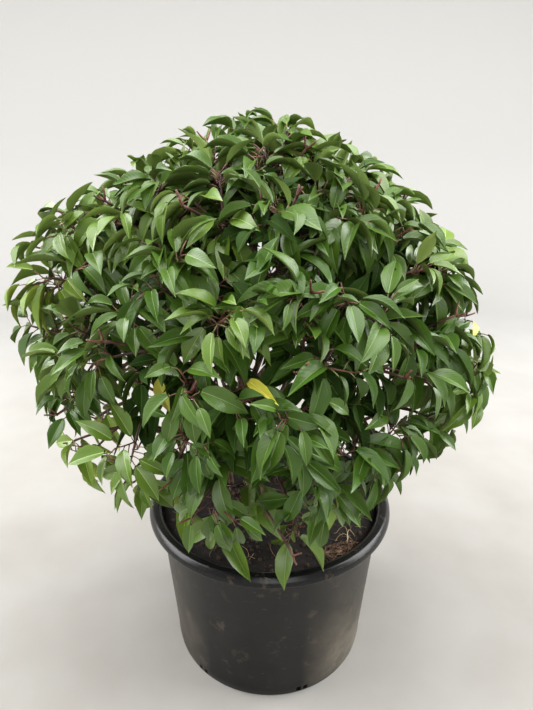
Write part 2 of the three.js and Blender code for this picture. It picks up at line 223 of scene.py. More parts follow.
@dataclass(frozen=True)
class BarkFinish:
    """Cherry-laurel bark, smooth when young and slightly cracked with age.

    The eye sees a matt surface, blotched between brown and grey, with short darker marks that run
    round the limb.
    """

    name: str
    dark: str
    mid: str
    pale: str
    roughness: float
    blotch_size: float
    mark_size: float
    mark_depth: float = 0.0006
    stops: tuple[float, float, float] = (0.34, 0.52, 0.68)

    def build(self) -> list[bpy.types.Material]:
        """Makes the material.

        Returns:
            A list of the one material.
        """
        material, shader = new_surface(self.name, {"Roughness": self.roughness, "IOR": 1.47})
        tree = material.node_tree
        place = add_node(tree, "ShaderNodeTexCoord").outputs["Object"]
        blotches = add_node(tree, "ShaderNodeTexNoise",
                            values={"Scale": 1 / self.blotch_size, "Detail": 4.0},
                            links={"Vector": place})
        colour = ramp(tree, blotches.outputs["Fac"],
                      list(zip(self.stops, (self.dark, self.mid, self.pale))))
        along = add_node(tree, "ShaderNodeUVMap", {"uv_map": "UVMap"})
        marks = add_node(tree, "ShaderNodeTexVoronoi", {"feature": "DISTANCE_TO_EDGE"},
                         {"Scale": 1 / self.mark_size}, {"Vector": along.outputs["UV"]})
        bump = add_node(tree, "ShaderNodeBump", values={
            "Strength": 0.6, "Distance": self.mark_depth,
        }, links={"Height": marks.outputs["Distance"]})
        wire(shader, {"Base Color": colour, "Normal": bump.outputs["Normal"]})
        return [material]


class Strand(Enum):
    """The finishes of all that is long and round, from the trunk to the finest root."""

    LIMB = BarkFinish("bark_grey_brown", "33261f", "5a4234", "80695a", 0.85, 0.012, 0.003)
    TWIG = BarkFinish("bark_young_twig", "2c1a16", "4a2d24", "6c4f40", 0.6, 0.03, 0.0015)
    SHOOT = BarkFinish(
        "bark_green_shoot_reddened", "3a1d1a", "5c3028", "7a5343", 0.55, 0.03, 0.0015)
    STALK = BarkFinish("leaf_stalk_reddened", "4a2c25", "74503f", "8a8a5c", 0.5, 0.03, 0.0015)
    FIBRE = BarkFinish("root_fibre_dry", "6b543c", "8d7453", "b7a483", 0.8, 0.02, 0.004)
    MAT = BarkFinish("root_mat_torn", "3d2c20", "6e533e", "9a7f66", 0.9, 0.012, 0.003)
    ROOTLET = BarkFinish("rootlet_pale", "8d7a5c", "b09a76", "c9b795", 0.75, 0.02, 0.004)


@dataclass(frozen=True)
class PotFinish:
    """Injection-moulded recycled polypropylene, black, used outdoors.

    The moulding leaves a satin, slightly pebbled skin. Dust and dried splashes dull the lower
    wall, and pale scuffs cross the middle where pots rub together. The pale layer also grows
    towards the left and right edges as seen from the front, more on the right, and there it is
    partly dust and partly a painted sheen.
    """

    black: str = "08090a"
    worn: str = "0f1010"
    dust_and_sheen_tone: str = "7a7367"
    scuff: str = "85827b"
    soil: str = "5f5344"
    shine: float = 0.27
    roughness: float = 0.34
    dusty_roughness: float = 0.7
    pebble_size: float = 0.0011
    pebble_depth: float = 0.0002
    smudge_size: float = 0.03
    rub_stretch: tuple[float, float, float] = (60.0, 60.0, 420.0)
    dust_height: float = 0.2
    sheen_dust_inner: float = 0.066
    sheen_dust_outer: float = 0.12
    sheen_dust_shift: float = 0.024
    dust_on_rim: float = 0.15
    handled_from: float = 0.226
    handled_blend: float = 0.004
    handled: float = 0.25

    def build(self) -> list[bpy.types.Material]:
        """Makes the material.

        Returns:
            A list of the one material.
        """
        material, shader = new_surface("polypropylene_moulded_satin", {
            "IOR": 1.49, "Specular IOR Level": self.shine,
        })
        tree = material.node_tree
        place = add_node(tree, "ShaderNodeTexCoord").outputs["Object"]
        parts = add_node(tree, "ShaderNodeSeparateXYZ", links={0: place})
        height = parts.outputs["Z"]
        # Left and right of the middle as seen from the front, shifted to the right: the painted
        # sheen that the dust layer carries.
        shifted = add_node(tree, "ShaderNodeMath", {"operation": "ADD"}, {1: self.sheen_dust_shift},
                           {0: parts.outputs["X"]})
        aside = add_node(tree, "ShaderNodeMath", {"operation": "ABSOLUTE"},
                         links={0: shifted.outputs[0]})
        stretched = add_node(tree, "ShaderNodeMapping", values={"Scale": self.rub_stretch},
                             links={"Vector": place})
        clouds = {
            name: add_node(tree, "ShaderNodeTexNoise", values={
                "Scale": scale, "Detail": detail, "Roughness": roughness,
            }, links={"Vector": at}).outputs["Fac"]
            for name, at, scale, detail, roughness in (
                ("wear", place, 22.0, 6.0, 0.62),
                ("splashes", place, 9.0, 10.0, 0.74),
                ("smudges", place, 1 / self.smudge_size, 7.0, 0.66),
                ("rubs", stretched.outputs[0], 1.0, 3.0, 0.5),
                ("pebbles", place, 1 / self.pebble_size, 2.0, 0.5),
            )
        }
        rim = (self.handled_from, self.handled_from + self.handled_blend)
        shares = {
            name: add_node(tree, "ShaderNodeMapRange", values={
                "From Min": low, "From Max": high, "To Min": first, "To Max": last,
            }, links={"Value": source}).outputs[0]
            for name, source, (low, high), first, last in (
                ("low", height, (0.0, self.dust_height), 1.0, 0.3),
                # Painted sheen, partly dust: more towards the left and right edges as seen from the
                # front.
                ("sides", aside.outputs[0], (self.sheen_dust_inner, self.sheen_dust_outer), 0.04, 0.7),
                ("wiped", height, rim, 1.0, self.dust_on_rim),
                ("settled", clouds["splashes"], (0.34, 0.6), 0.15, 1.0),
                ("smudged", clouds["smudges"], (0.58, 0.71), 0.0, 0.5),
                ("scuffed", clouds["rubs"], (0.69, 0.8), 0.0, 0.3),
                ("polished", height, rim, 1.0, self.handled / self.roughness),
            )
        }
        dust_and_sheen = shares["low"]
        for name in ("sides", "wiped", "settled"):
            dust_and_sheen = add_node(tree, "ShaderNodeMath", {"operation": "MULTIPLY", "use_clamp": True},
                             links={0: dust_and_sheen, 1: shares[name]}).outputs[0]
        colour = ramp(tree, clouds["wear"], [(0.42, self.black), (0.7, self.worn)])
        for share, layer in ((dust_and_sheen, self.dust_and_sheen_tone), (shares["smudged"], self.soil),
                             (shares["scuffed"], self.scuff)):
            colour = add_node(tree, "ShaderNodeMix", {"data_type": "RGBA"}, {7: srgb(layer)},
                              {"Factor": share, 6: colour}).outputs[2]
        gloss = add_node(tree, "ShaderNodeMapRange", values={
            "From Min": 0.0, "From Max": 0.4,
            "To Min": self.roughness, "To Max": self.dusty_roughness,
        }, links={"Value": dust_and_sheen})
        sheen = add_node(tree, "ShaderNodeMath", {"operation": "MULTIPLY"},
                         links={0: gloss.outputs[0], 1: shares["polished"]})
        bump = add_node(tree, "ShaderNodeBump", values={
            "Strength": 0.25, "Distance": self.pebble_depth,
        }, links={"Height": clouds["pebbles"]})
        wire(shader, {"Base Color": colour, "Roughness": sheen.outputs[0],
                      "Normal": bump.outputs["Normal"]})
        return [material]


@dataclass(frozen=True)
class PeatFinish:
    """Moist peat potting soil, crumbled by hand.

    It is nearly black and quite matt, with brown crumbs and a fine grain.
    """

    name: str = "peat_moist_crumbled"
    dark: str = "0e0b09"
    mid: str = "1c1511"
    pale: str = "3b2e23"
    grain: float = 0.0022
    grain_depth: float = 0.0012
    stops: tuple[float, float, float] = (0.4, 0.58, 0.74)

    def build(self) -> list[bpy.types.Material]:
        """Makes the material.

        Returns:
            A list of the one material.
        """
        material, shader = new_surface(self.name, {"Roughness": 0.92, "IOR": 1.4})
        tree = material.node_tree
        place = add_node(tree, "ShaderNodeTexCoord").outputs["Object"]
        grains = add_node(tree, "ShaderNodeTexNoise",
                          values={"Scale": 1 / self.grain, "Detail": 5.0, "Roughness": 0.7},
                          links={"Vector": place})
        colour = ramp(tree, grains.outputs["Fac"],
                      list(zip(self.stops, (self.dark, self.mid, self.pale))))
        bump = add_node(tree, "ShaderNodeBump", values={
            "Strength": 0.9, "Distance": self.grain_depth,
        }, links={"Height": grains.outputs["Fac"]})
        wire(shader, {"Base Color": colour, "Normal": bump.outputs["Normal"]})
        return [material]


@dataclass(frozen=True)
class StudioFinish:
    """Matt paint, rolled on: trodden and darker round the pot, cleaner towards the wall."""

    floor: str = "8e8c88"
    stain: str = "86837e"
    wall: str = "b4b3b1"
    clean_from: float = 0.6
    clean_to: float = 3.0

    def build(self) -> list[bpy.types.Material]:
        """Makes the material.

        Returns:
            A list of the one material.
        """
        material, shader = new_surface("matt_paint_rolled", {"Roughness": 0.85, "IOR": 1.5})
        tree = material.node_tree
        place = add_node(tree, "ShaderNodeTexCoord").outputs["Object"]
        away = add_node(tree, "ShaderNodeVectorMath", {"operation": "LENGTH"}, links={0: place})
        clouds = add_node(tree, "ShaderNodeTexNoise", values={"Scale": 5.0, "Detail": 5.0},
                          links={"Vector": place})
        trodden = ramp(tree, clouds.outputs["Fac"], [(0.35, self.stain), (0.65, self.floor)])
        clean = add_node(tree, "ShaderNodeMapRange", values={
            "From Min": self.clean_from, "From Max": self.clean_to, "To Min": 0.0, "To Max": 1.0,
        }, links={"Value": away.outputs["Value"]})
        colour = add_node(tree, "ShaderNodeMix", {"data_type": "RGBA"}, links={
            "Factor": clean.outputs[0], 6: trodden,
        }, values={7: srgb(self.wall)})
        wire(shader, {"Base Color": colour.outputs[2]})
        return [material]


Finish = BarkFinish | PotFinish | PeatFinish | StudioFinish


def dress(made: bpy.types.Object, finish: Finish) -> None:
    """Gives an object the materials of a finish."""
    for material in finish.build():
        made.data.materials.append(material)


class Stream:
    """A repeatable stream of numbers from 0 to 1."""

    def __init__(self, seed: int) -> None:
        """Starts the stream at a seed."""
        self.state = seed & 0xFFFFFFFF

    def __call__(self) -> float:
        """Draws the next number."""
        self.state = (self.state * 1664525 + 1013904223) & 0xFFFFFFFF
        return self.state / 4294967296

    def between(self, low: float, high: float) -> float:
        """Draws a number from low to high."""
        return low + (high - low) * self()


def unit(vector: Array) -> Array:
    """Scales vectors along the last axis to length 1."""
    return vector / np.maximum(np.linalg.norm(vector, axis=-1, keepdims=True), 1e-9)


def heading(azimuth: float, elevation: float) -> Array:
    """Gives the unit vector at an azimuth and elevation in degrees."""
    a, e = math.radians(azimuth), math.radians(elevation)
    return np.array((math.cos(a) * math.cos(e), math.sin(a) * math.cos(e), math.sin(e)))


def cross_frame(along: Array) -> tuple[Array, Array]:
    """Gives two directions square to a direction and to each other."""
    side = unit(np.cross(ACROSS if abs(along[2]) > 0.9 else UP, along))
    return side, np.cross(along, side)


@dataclass(frozen=True)
class Bezier:
    """A Bezier curve over three or four control points."""

    controls: tuple[Array, ...]

    def at(self, t: float | Array) -> Array:
        """Gives the point, or the points, at a share of the curve.

        Args:
            t: One share from 0 to 1, or an array of them.

        Returns:
            One point, or one for each share.
        """
        n = len(self.controls) - 1
        t = np.asarray(t, dtype=float)[..., None]
        return sum(
            math.comb(n, i) * t**i * (1 - t) ** (n - i) * c for i, c in enumerate(self.controls)
        )

    def tangent(self, t: float) -> Array:
        """Gives the curve's unit direction at a share of it."""
        return unit(self.at(min(t + 0.002, 1.0)) - self.at(max(t - 0.002, 0.0)))

    def length(self) -> float:
        """Gives the curve's length."""
        return float(np.linalg.norm(np.diff(self.at(np.linspace(0, 1, 33)), axis=0), axis=1).sum())


def bowed(start: Array, end: Array, bow: Array) -> Bezier:
    """Gives the curve between two points whose middle control stands off theirs by a bow."""
    return Bezier((start, (start + end) / 2 + bow, end))


def nearest(limbs: Sequence[Bezier], point: Array) -> Bezier:
    """Gives the limb whose end is nearest to a point."""
    return min(limbs, key=lambda limb: float(np.linalg.norm(limb.at(1.0) - point)))


@dataclass(frozen=True)
class Ring:
    """A ring of foliage masses, and the stretch of the trunk that its boughs leave from."""

    name: str
    count: int
    elevation: float
    first: float
    out: float
    trunk: tuple[float, float]
    arch: float


@dataclass
class Mass:
    """One mass of foliage, its own space, and the limb that carries it, in millimetres."""

    name: str
    centre: Array
    direction: Array
    limb: Bezier
    root_radius: float
    on_trunk: bool
    normals: Array = field(default_factory=lambda: np.zeros((0, 3)))
    offsets: Array = field(default_factory=lambda: np.zeros(0))
    entry: float = 0.2


@dataclass
class CrownPlan:
    """The trunk, the limbs and the spaces of the masses, by the rule of the solids.

    All its sizes are in millimetres and degrees. A swell is an azimuth, an elevation, a share of
    the crown's radius and a width.
    """

    soil_top: float = 238.3
    soil_radius: float = 159.0
    rim_top: float = 249.0
    rim_radius: float = 185.0
    trunk_points: tuple = ((-24, -18, 238.3), (-24, -18, 298.3), (-60, -10, 362), (-34, -8, 440))
    trunk_tip_radius: float = 5.4
    trunk_gain: float = 5.2
    trunk_taper: float = 1.3
    flare_gain: float = 6.5
    flare_height: float = 15.0
    bough_radius: float = 4.8
    shoot_radius: float = 3.6
    limb_tip_radius: float = 2.2
    centre: tuple = (-20, -8, 503)
    radius: float = 295.0
    swells: tuple = (
        (-161, 27, 0.1, 18), (-26, -4, 0.07, 18), (-145, -18, 0.02, 16), (-36, -36, -0.12, 22),
        (-135, -42, -0.1, 16), (-12, 62, -0.04, 22), (-170, 58, -0.05, 16), (-88, -55, 0.2, 16),
    )
    rings: tuple[Ring, ...] = (
        Ring("top", 1, 90, 0, 176, (1.0, 1.0), 0),
        Ring("upper", 5, 46, -90, 180, (0.8, 0.95), -10),
        Ring("middle", 8, 7, -112, 180, (0.5, 0.76), -8),
        Ring("lower", 7, -30, -90, 178, (0.24, 0.44), 22),
    )
    skirt_azimuths: tuple[float, ...] = (-116, -62, 38, 146)
    skirt_out: float = 118.0
    skirt_height: float = 322.0
    skirt_root_out: float = 74.0
    room_shares: tuple[float, ...] = (0.3, 0.6, 0.95)
    inside_share: float = 0.46
    root_back: float = 0.01
    spine_steps: int = 41
    entry_span: tuple[float, float] = (0.2, 0.9)
    entry_step: float = 0.01
    entry_gap: float = 2.0
    pot_gap: float = 4.0
    rim_gap: float = 3.0
    below_rim: float = 40.0
    point_jitter: float = 0.6
    point_pull: float = 0.12
    least_pull: float = 0.2
    space_gap: float = 4.0
    point_gap: float = 6.0

    def __post_init__(self) -> None:
        """Lays out the trunk, the masses, their spaces and the spines of the limbs."""
        self.middle = np.array(self.centre, dtype=float)
        self.trunk = Bezier(tuple(np.array(p, dtype=float) for p in self.trunk_points))
        self.swell_rays = np.array([heading(a, e) for a, e, _, _ in self.swells])
        self.swell_gains = np.array([self.radius * gain for _, _, gain, _ in self.swells])
        self.swell_widths = np.radians([width for _, _, _, width in self.swells])
        self.masses = self.ring_masses() + self.skirt_masses()
        room = [self.middle, *(self.trunk.at(t) for t in self.room_shares)]
        for mass in self.masses:
            others = [m.centre for m in self.masses if m is not mass] + room
            mass.normals = unit(mass.centre - np.array(others))
            mass.offsets = np.sum(mass.normals * (mass.centre + np.array(others)) / 2, axis=1)
        for mass in self.masses:
            mass.entry = self.entry_of(mass)
        spans = [(self.trunk, 1.0, self.trunk_radius)]
        spans += [(m.limb, m.entry, lambda t, m=m: self.limb_radius(m, t)) for m in self.masses]
        shares = np.linspace(0, 1, self.spine_steps)
        self.spine_points = np.concatenate([c.at(end * shares) for c, end, _ in spans])
        self.spine_radii = np.concatenate(
            [[radius(end * t) for t in shares] for _, end, radius in spans]
        )

    def ring_masses(self) -> list[Mass]:
        """Places the masses that boughs of the trunk carry.

        Returns:
            The masses, ring by ring from the top down.
        """
        made = []
        for ring in self.rings:
            for i in range(ring.count):
                direction = heading(ring.first + i * 360 / ring.count, ring.elevation)
                share = ((i * 3) % ring.count) / (ring.count - 1) if ring.count > 1 else 0
                centre = self.middle + direction * ring.out
                low, high = ring.trunk
                root = self.trunk.at(low + (high - low) * share - self.root_back)
                name = f"{ring.name}_{i + 1}" if ring.count > 1 else ring.name
                limb = bowed(root, centre, UP * ring.arch)
                made.append(Mass(name, centre, direction, limb, self.bough_radius, True))
        return made

    def skirt_masses(self) -> list[Mass]:
        """Places the low masses that shoots from the soil carry.

        Returns:
            The masses in the order of their azimuths.
        """
        made = []
        for i, azimuth in enumerate(self.skirt_azimuths):
            outward = heading(azimuth, 0)
            centre = outward * self.skirt_out + UP * self.skirt_height
            root = outward * self.skirt_root_out + UP * self.soil_top
            elbow = root + UP * ((self.skirt_height - self.soil_top) / 2)
            limb = Bezier((root, elbow, centre))
            direction = unit(centre - self.middle)
            made.append(Mass(f"skirt_{i + 1}", centre, direction, limb, self.shoot_radius, False))
        return made

    def trunk_radius(self, t: float) -> float:
        """Gives the trunk's radius along its curve, with the flare at its foot."""
        height = (self.trunk.at(t)[2] - self.soil_top) / self.flare_height
        return (self.trunk_tip_radius + self.trunk_gain * (1 - t) ** self.trunk_taper
                + self.flare_gain * math.exp(-height * height))

    def limb_radius(self, mass: Mass, t: float) -> float:
        """Gives the radius of a mass's limb along its curve."""
        return mass.root_radius + (self.limb_tip_radius - mass.root_radius) * t

    def reach(self, rays: Array) -> Array:
        """Tells how far the crown reaches from its middle.

        Args:
            rays: Unit directions from the crown's middle.

        Returns:
            The reach in each direction.
        """
        turns = np.arccos(np.clip(np.asarray(rays) @ self.swell_rays.T, -1, 1)) / self.swell_widths
        return self.radius + np.exp(-turns * turns) @ self.swell_gains

    def depth(self, points: Array, mass: Mass) -> Array:
        """Tells how far points lie inside a mass's own space, negative outside it."""
        return np.min(np.asarray(points) @ mass.normals.T - mass.offsets, axis=-1)

    def entry_of(self, mass: Mass) -> float:
        """Finds where along its curve a mass's limb enters the mass's space.

        Args:
            mass: The mass.

        Returns:
            The share of the curve.
        """
        t, last = self.entry_span
        while t < last:
            point = mass.limb.at(t)
            inward = float(mass.direction @ (point - self.middle)) - self.radius * self.inside_share
            depth = min(self.depth(point, mass), inward if mass.on_trunk else math.inf)
            if depth - self.limb_radius(mass, t) >= self.entry_gap:
                break
            t += self.entry_step
        return t

    def is_free(self, points: Array, margin: float) -> bool:
        """Tells whether points stay clear of the limbs, the soil and the pot.

        Args:
            points: The points.
            margin: How far they stay from the limbs.

        Returns:
            True if all of them do.
        """
        points = np.atleast_2d(points)
        out = np.hypot(points[:, 0], points[:, 1])
        z = points[:, 2]
        open_air = (out < self.soil_radius) & (z > self.soil_top + self.pot_gap)
        open_air |= z > self.rim_top + self.rim_gap
        open_air |= (out > self.rim_radius + self.pot_gap) & (z > self.rim_top - self.below_rim)
        if not open_air.all():
            return False
        gaps = np.linalg.norm(points[:, None] - self.spine_points[None], axis=2)
        return bool((gaps > self.spine_radii + margin).all())

    def spread_point(
        self, mass: Mass, index: int, count: int, share: float, spread: float, stream: Stream
    ) -> Array | None:
        """Finds one of count points spread over a mass, drawn in until it fits its space.

        Args:
            mass: The mass.
            index: The point's number.
            count: How many points there are.
            share: The share of the crown's reach that it lies at.
            spread: The half angle that the points take up.
            stream: Where the turn's jitter is drawn from.

        Returns:
            The point, or None if none fits.
        """
        side, over = cross_frame(mass.direction)
        tilt = math.radians(spread) * math.sqrt((index + 0.5) / count)
        turn = index * GOLDEN_TURN + stream() * self.point_jitter
        pull = 1.0
        while pull > self.least_pull:
            lean = math.tan(tilt * pull)
            aim = unit(mass.direction + side * lean * math.cos(turn) + over * lean * math.sin(turn))
            point = self.middle + aim * self.reach(aim) * share
            if self.depth(point, mass) > self.space_gap and self.is_free(point, self.point_gap):
                return point
            pull -= self.point_pull
        return None


@dataclass
class Tubes:
    """Round tapering limbs with flat ends, all with the same number of rings and sides."""

    sides: int
    paths: list[Array] = field(default_factory=list)
    radii: list[Array] = field(default_factory=list)

    def add(self, path: Array, radii: Array) -> None:
        """Adds a limb along points, with a radius at each."""
        self.paths.append(path)
        self.radii.append(radii)

    def follow(self, curve: Bezier, radii: Array) -> None:
        """Adds a limb along the whole of a curve, with a ring for each radius."""
        self.add(curve.at(np.linspace(0, 1, len(radii))), radii)

    def arrays(self) -> tuple[Array, list[Array], Array]:
        """Makes the limbs' vertices and faces.

        Returns:
            The vertices, the faces grouped by their number of corners, and each vertex's place on
            its limb: metres round it and along it.
        """
        paths, radii = np.array(self.paths), np.array(self.radii)
        count, rings, _ = paths.shape
        along = unit(np.gradient(paths, axis=1))
        mean = unit(along.mean(axis=1))
        aid = np.where(np.abs(mean[:, 2:]) > 0.8, ACROSS, UP)[:, None]
        side = unit(aid - np.sum(aid * along, axis=2, keepdims=True) * along)
        over = np.cross(along, side)
        angle = np.arange(self.sides) * 2 * math.pi / self.sides
        rim = side[:, :, None] * np.cos(angle)[:, None] + over[:, :, None] * np.sin(angle)[:, None]
        points = paths[:, :, None] + rim * radii[:, :, None, None]
        start = np.arange(count)[:, None, None] * rings * self.sides
        ring = np.arange(rings - 1)[None, :, None] * self.sides
        k = np.arange(self.sides)[None, None, :]
        after = (k + 1) % self.sides
        low, high = start + ring, start + ring + self.sides
        quads = np.stack([low + k, low + after, high + after, high + k], axis=-1)
        first = start[:, 0] + np.arange(self.sides)[::-1]
        last = start[:, 0] + (rings - 1) * self.sides + np.arange(self.sides)
        steps = np.linalg.norm(np.diff(paths, axis=1), axis=2)
        run = np.concatenate([np.zeros((count, 1)), np.cumsum(steps, axis=1)], axis=1)
        uv = np.stack(np.broadcast_arrays(angle * radii.mean(), run[:, :, None]), axis=-1) * MM
        return (points.reshape(-1, 3), [quads.reshape(-1, 4), np.concatenate([first, last])],
                uv.reshape(-1, 2))


def mesh_object(
    name: str,
    vertices: Array,
    faces: Sequence[Array],
    materials: Sequence[bpy.types.Material],
    uv: Array | None = None,
    numbers: Array | None = None,
) -> bpy.types.Object:
    """Makes an object from arrays of vertices in millimetres and of faces.

    Args:
        name: The piece's name.
        vertices: The points.
        faces: Arrays of faces, each array with one number of corners.
        materials: The materials of its slots.
        uv: A place for each vertex, if a pattern needs one.
        numbers: Each face's material number.

    Returns:
        The object, smooth all over.
    """
    mesh = bpy.data.meshes.new(name)
    corners = np.concatenate([f.reshape(-1) for f in faces]).astype(np.int32)
    totals = np.concatenate([np.full(len(f), f.shape[1]) for f in faces]).astype(np.int32)
    mesh.vertices.add(len(vertices))
    mesh.vertices.foreach_set("co", (np.asarray(vertices) * MM).astype(np.float32).reshape(-1))
    mesh.loops.add(len(corners))
    mesh.loops.foreach_set("vertex_index", corners)
    mesh.polygons.add(len(totals))
    starts = np.concatenate([[0], np.cumsum(totals)[:-1]])
    mesh.polygons.foreach_set("loop_start", starts.astype(np.int32))
    mesh.polygons.foreach_set("use_smooth", np.ones(len(totals), dtype=bool))
    if numbers is not None:
        mesh.polygons.foreach_set("material_index", numbers.astype(np.int32))
    if uv is not None:
        layer = mesh.uv_layers.new(name="UVMap")
        layer.data.foreach_set("uv", uv[corners].astype(np.float32).reshape(-1))
    for material in materials:
        mesh.materials.append(material)
    mesh.update(calc_edges=True)
    mesh.validate()
    made = bpy.data.objects.new(name, mesh)
    bpy.context.scene.collection.objects.link(made)
    return made


def tube_object(name: str, tubes: Tubes, strand: Strand) -> bpy.types.Object:
    """Makes an object of limbs.

    Args:
        name: The piece's name.
        tubes: The limbs.
        strand: What they are.

    Returns:
        The object.
    """
    vertices, faces, uv = tubes.arrays()
    return mesh_object(name, vertices, faces, strand.value.build(), uv)


def carry(made: bpy.types.Object, slot: str, *nodes: str) -> None:
    """Makes a piece ride on the plant's body and stand for the nodes that it replaces.

    Args:
        made: The piece.
        slot: The name of a material slot; not used.
        nodes: The nodes that it stands for.
    """
    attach(made, BODY)
    if nodes:
        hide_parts(*nodes)
    made.data.calc_loop_triangles()
    LOG.info("%s: %d triangles", made.name, len(made.data.loop_triangles))


class Tint(Enum):
    """The colours of leaf that a spray can have."""

    # DEEP goes to the inner sprays, darker as older leaves and as painted shade; FRESH_AND_LIT and
    # LIME come partly at random and partly where light falls, as painted light.
    DEEP = LeafFinish("deep", "22390a", "455c24", "3a4d1b", 0.62, 0.0, 0.15)
    DARK = LeafFinish("dark", "355114", "66823c", "586d34", shine=0.3)
    MID = LeafFinish("mid", "3f5a1a", "6b8446", "6a7f3e", wax=0.18, shine=0.43)
    FRESH_AND_LIT = LeafFinish("fresh", "4f691f", "7f964d", "80954a", wax=0.32)
    LIME = LeafFinish("lime", "627b26", "9bad5a", "9fad4c", wax=0.32)
    YELLOW = LeafFinish("yellow", "a3a034", "c2be5c", "9c9848")


@dataclass
class LeafShape:
    """The outline and the lie of one leaf, as shares of its length and of its half width."""

    stations: tuple[float, ...] = (0.05, 0.14, 0.25, 0.37, 0.49, 0.61, 0.73, 0.84, 0.93)
    widths: tuple[float, ...] = (0.27, 0.63, 0.9, 1.0, 0.97, 0.84, 0.6, 0.33, 0.13)
    serration: float = 0.02
    across: tuple[float, ...] = (-1.0, -0.52, 0.0, 0.0, 0.52, 1.0)
    rib_root: float = 1.0
    rib_tip: float = 0.45
    bulge: float = 0.1
    thickness: float = 0.4
    ripple: float = 0.06
    ripple_waves: float = 1.4

    def topology(self) -> tuple[list[Array], Array, Array]:
        """Numbers the faces of one leaf.

        Returns:
            Its triangles and quads, their material numbers, and a table that is True for the
            pairs of vertices on its margin.
        """
        rows, width = len(self.stations), len(self.across)
        tip, lower = 1 + rows * width, 2 + rows * width
        quads, quad_numbers, triangles, triangle_numbers = [], [], [], []
        number = [0, 0, 1, 0, 0]
        for row in range(rows - 1):
            a, b = 1 + row * width, 1 + (row + 1) * width
            for k in range(width - 1):
                quads.append((a + k, a + k + 1, b + k + 1, b + k))
                quad_numbers.append(number[k])
            quads.append((a, b, lower + row + 1, lower + row))
            quads.append((lower + row, lower + row + 1, b + width - 1, a + width - 1))
            quad_numbers += [2, 2]
        last = 1 + (rows - 1) * width
        for k in range(width - 1):
            triangles.append((0, 1 + k + 1, 1 + k)[::-1])
            triangles.append((last + k, last + k + 1, tip))
            triangle_numbers += [number[k]] * 2
        triangles += [(0, 1, lower), (0, lower, width), (last, tip, lower + rows - 1),
                      (lower + rows - 1, tip, last + width - 1)]
        triangle_numbers += [2] * 4
        total = lower + rows
        margin = np.zeros((total, total), dtype=bool)
        for edge in (0, width - 1):
            line = [0] + [1 + row * width + edge for row in range(rows)] + [tip]
            for p, q in zip(line, line[1:]):
                margin[p, q] = margin[q, p] = True
        return ([np.array(triangles), np.array(quads)],
                np.array(triangle_numbers + quad_numbers), margin)

    def places(self, leaves: Array) -> tuple[Array, Array]:
        """Works out the vertices of many leaves.

        Args:
            leaves: A row for each leaf, as Foliage.leaf_row gives it.

        Returns:
            The vertices of each leaf, and their places on the blade.
        """
        root, along, over = leaves[:, 0:3], leaves[:, 3:6], leaves[:, 6:9]
        length, half, arch, fold, twist, phase = (leaves[:, i, None] for i in range(9, 15))
        side = np.cross(along, over)
        rows = len(self.stations)
        stations = np.array(self.stations)
        saw = 1 + self.serration * np.where(np.arange(rows) % 2, 1, -1)
        widths = np.array(self.widths) * saw
        rib = self.rib_root + (self.rib_tip - self.rib_root) * stations
        across = np.tile(np.array(self.across), (rows, 1))
        offset = half[:, :, None] * widths[:, None] * across[None]
        offset[:, :, 2] -= rib / 2
        offset[:, :, 3] += rib / 2
        rise = np.abs(offset) * np.sin(fold)[:, :, None]
        mid_blade = np.abs(across) == self.across[-2]
        rise = rise + half[:, :, None] * widths[:, None] * self.bulge * mid_blade
        waves = np.sin(2 * math.pi * (self.ripple_waves * stations + phase))
        rise = rise + self.ripple * half[:, :, None] * waves[:, :, None] * across[None] ** 2
        offset = offset * np.cos(fold)[:, :, None]
        s = np.concatenate([[0], np.repeat(stations, len(self.across)), [1], stations])
        zero = np.zeros((len(leaves), 1))
        offset = np.concatenate([zero, offset.reshape(len(leaves), -1), zero,
                                 np.zeros((len(leaves), rows))], axis=1)
        rise = np.concatenate([zero, rise.reshape(len(leaves), -1), zero,
                               np.full((len(leaves), rows), -self.thickness)], axis=1)
        bend = arch * s
        forward = length * np.sin(bend) / arch
        drop = -length * (1 - np.cos(bend)) / arch
        spin = (twist * s)[:, :, None]
        bend, side = bend[:, :, None], side[:, None]
        normal = np.sin(bend) * along[:, None] + np.cos(bend) * over[:, None]
        lateral = np.cos(spin) * side + np.sin(spin) * normal
        upward = np.cos(spin) * normal - np.sin(spin) * side
        points = (root[:, None] + forward[:, :, None] * along[:, None]
                  + drop[:, :, None] * over[:, None]
                  + offset[:, :, None] * lateral + rise[:, :, None] * upward)
        v = offset / np.maximum(half, 1e-6)
        return points, np.stack([np.broadcast_to(s, v.shape), v], axis=-1)


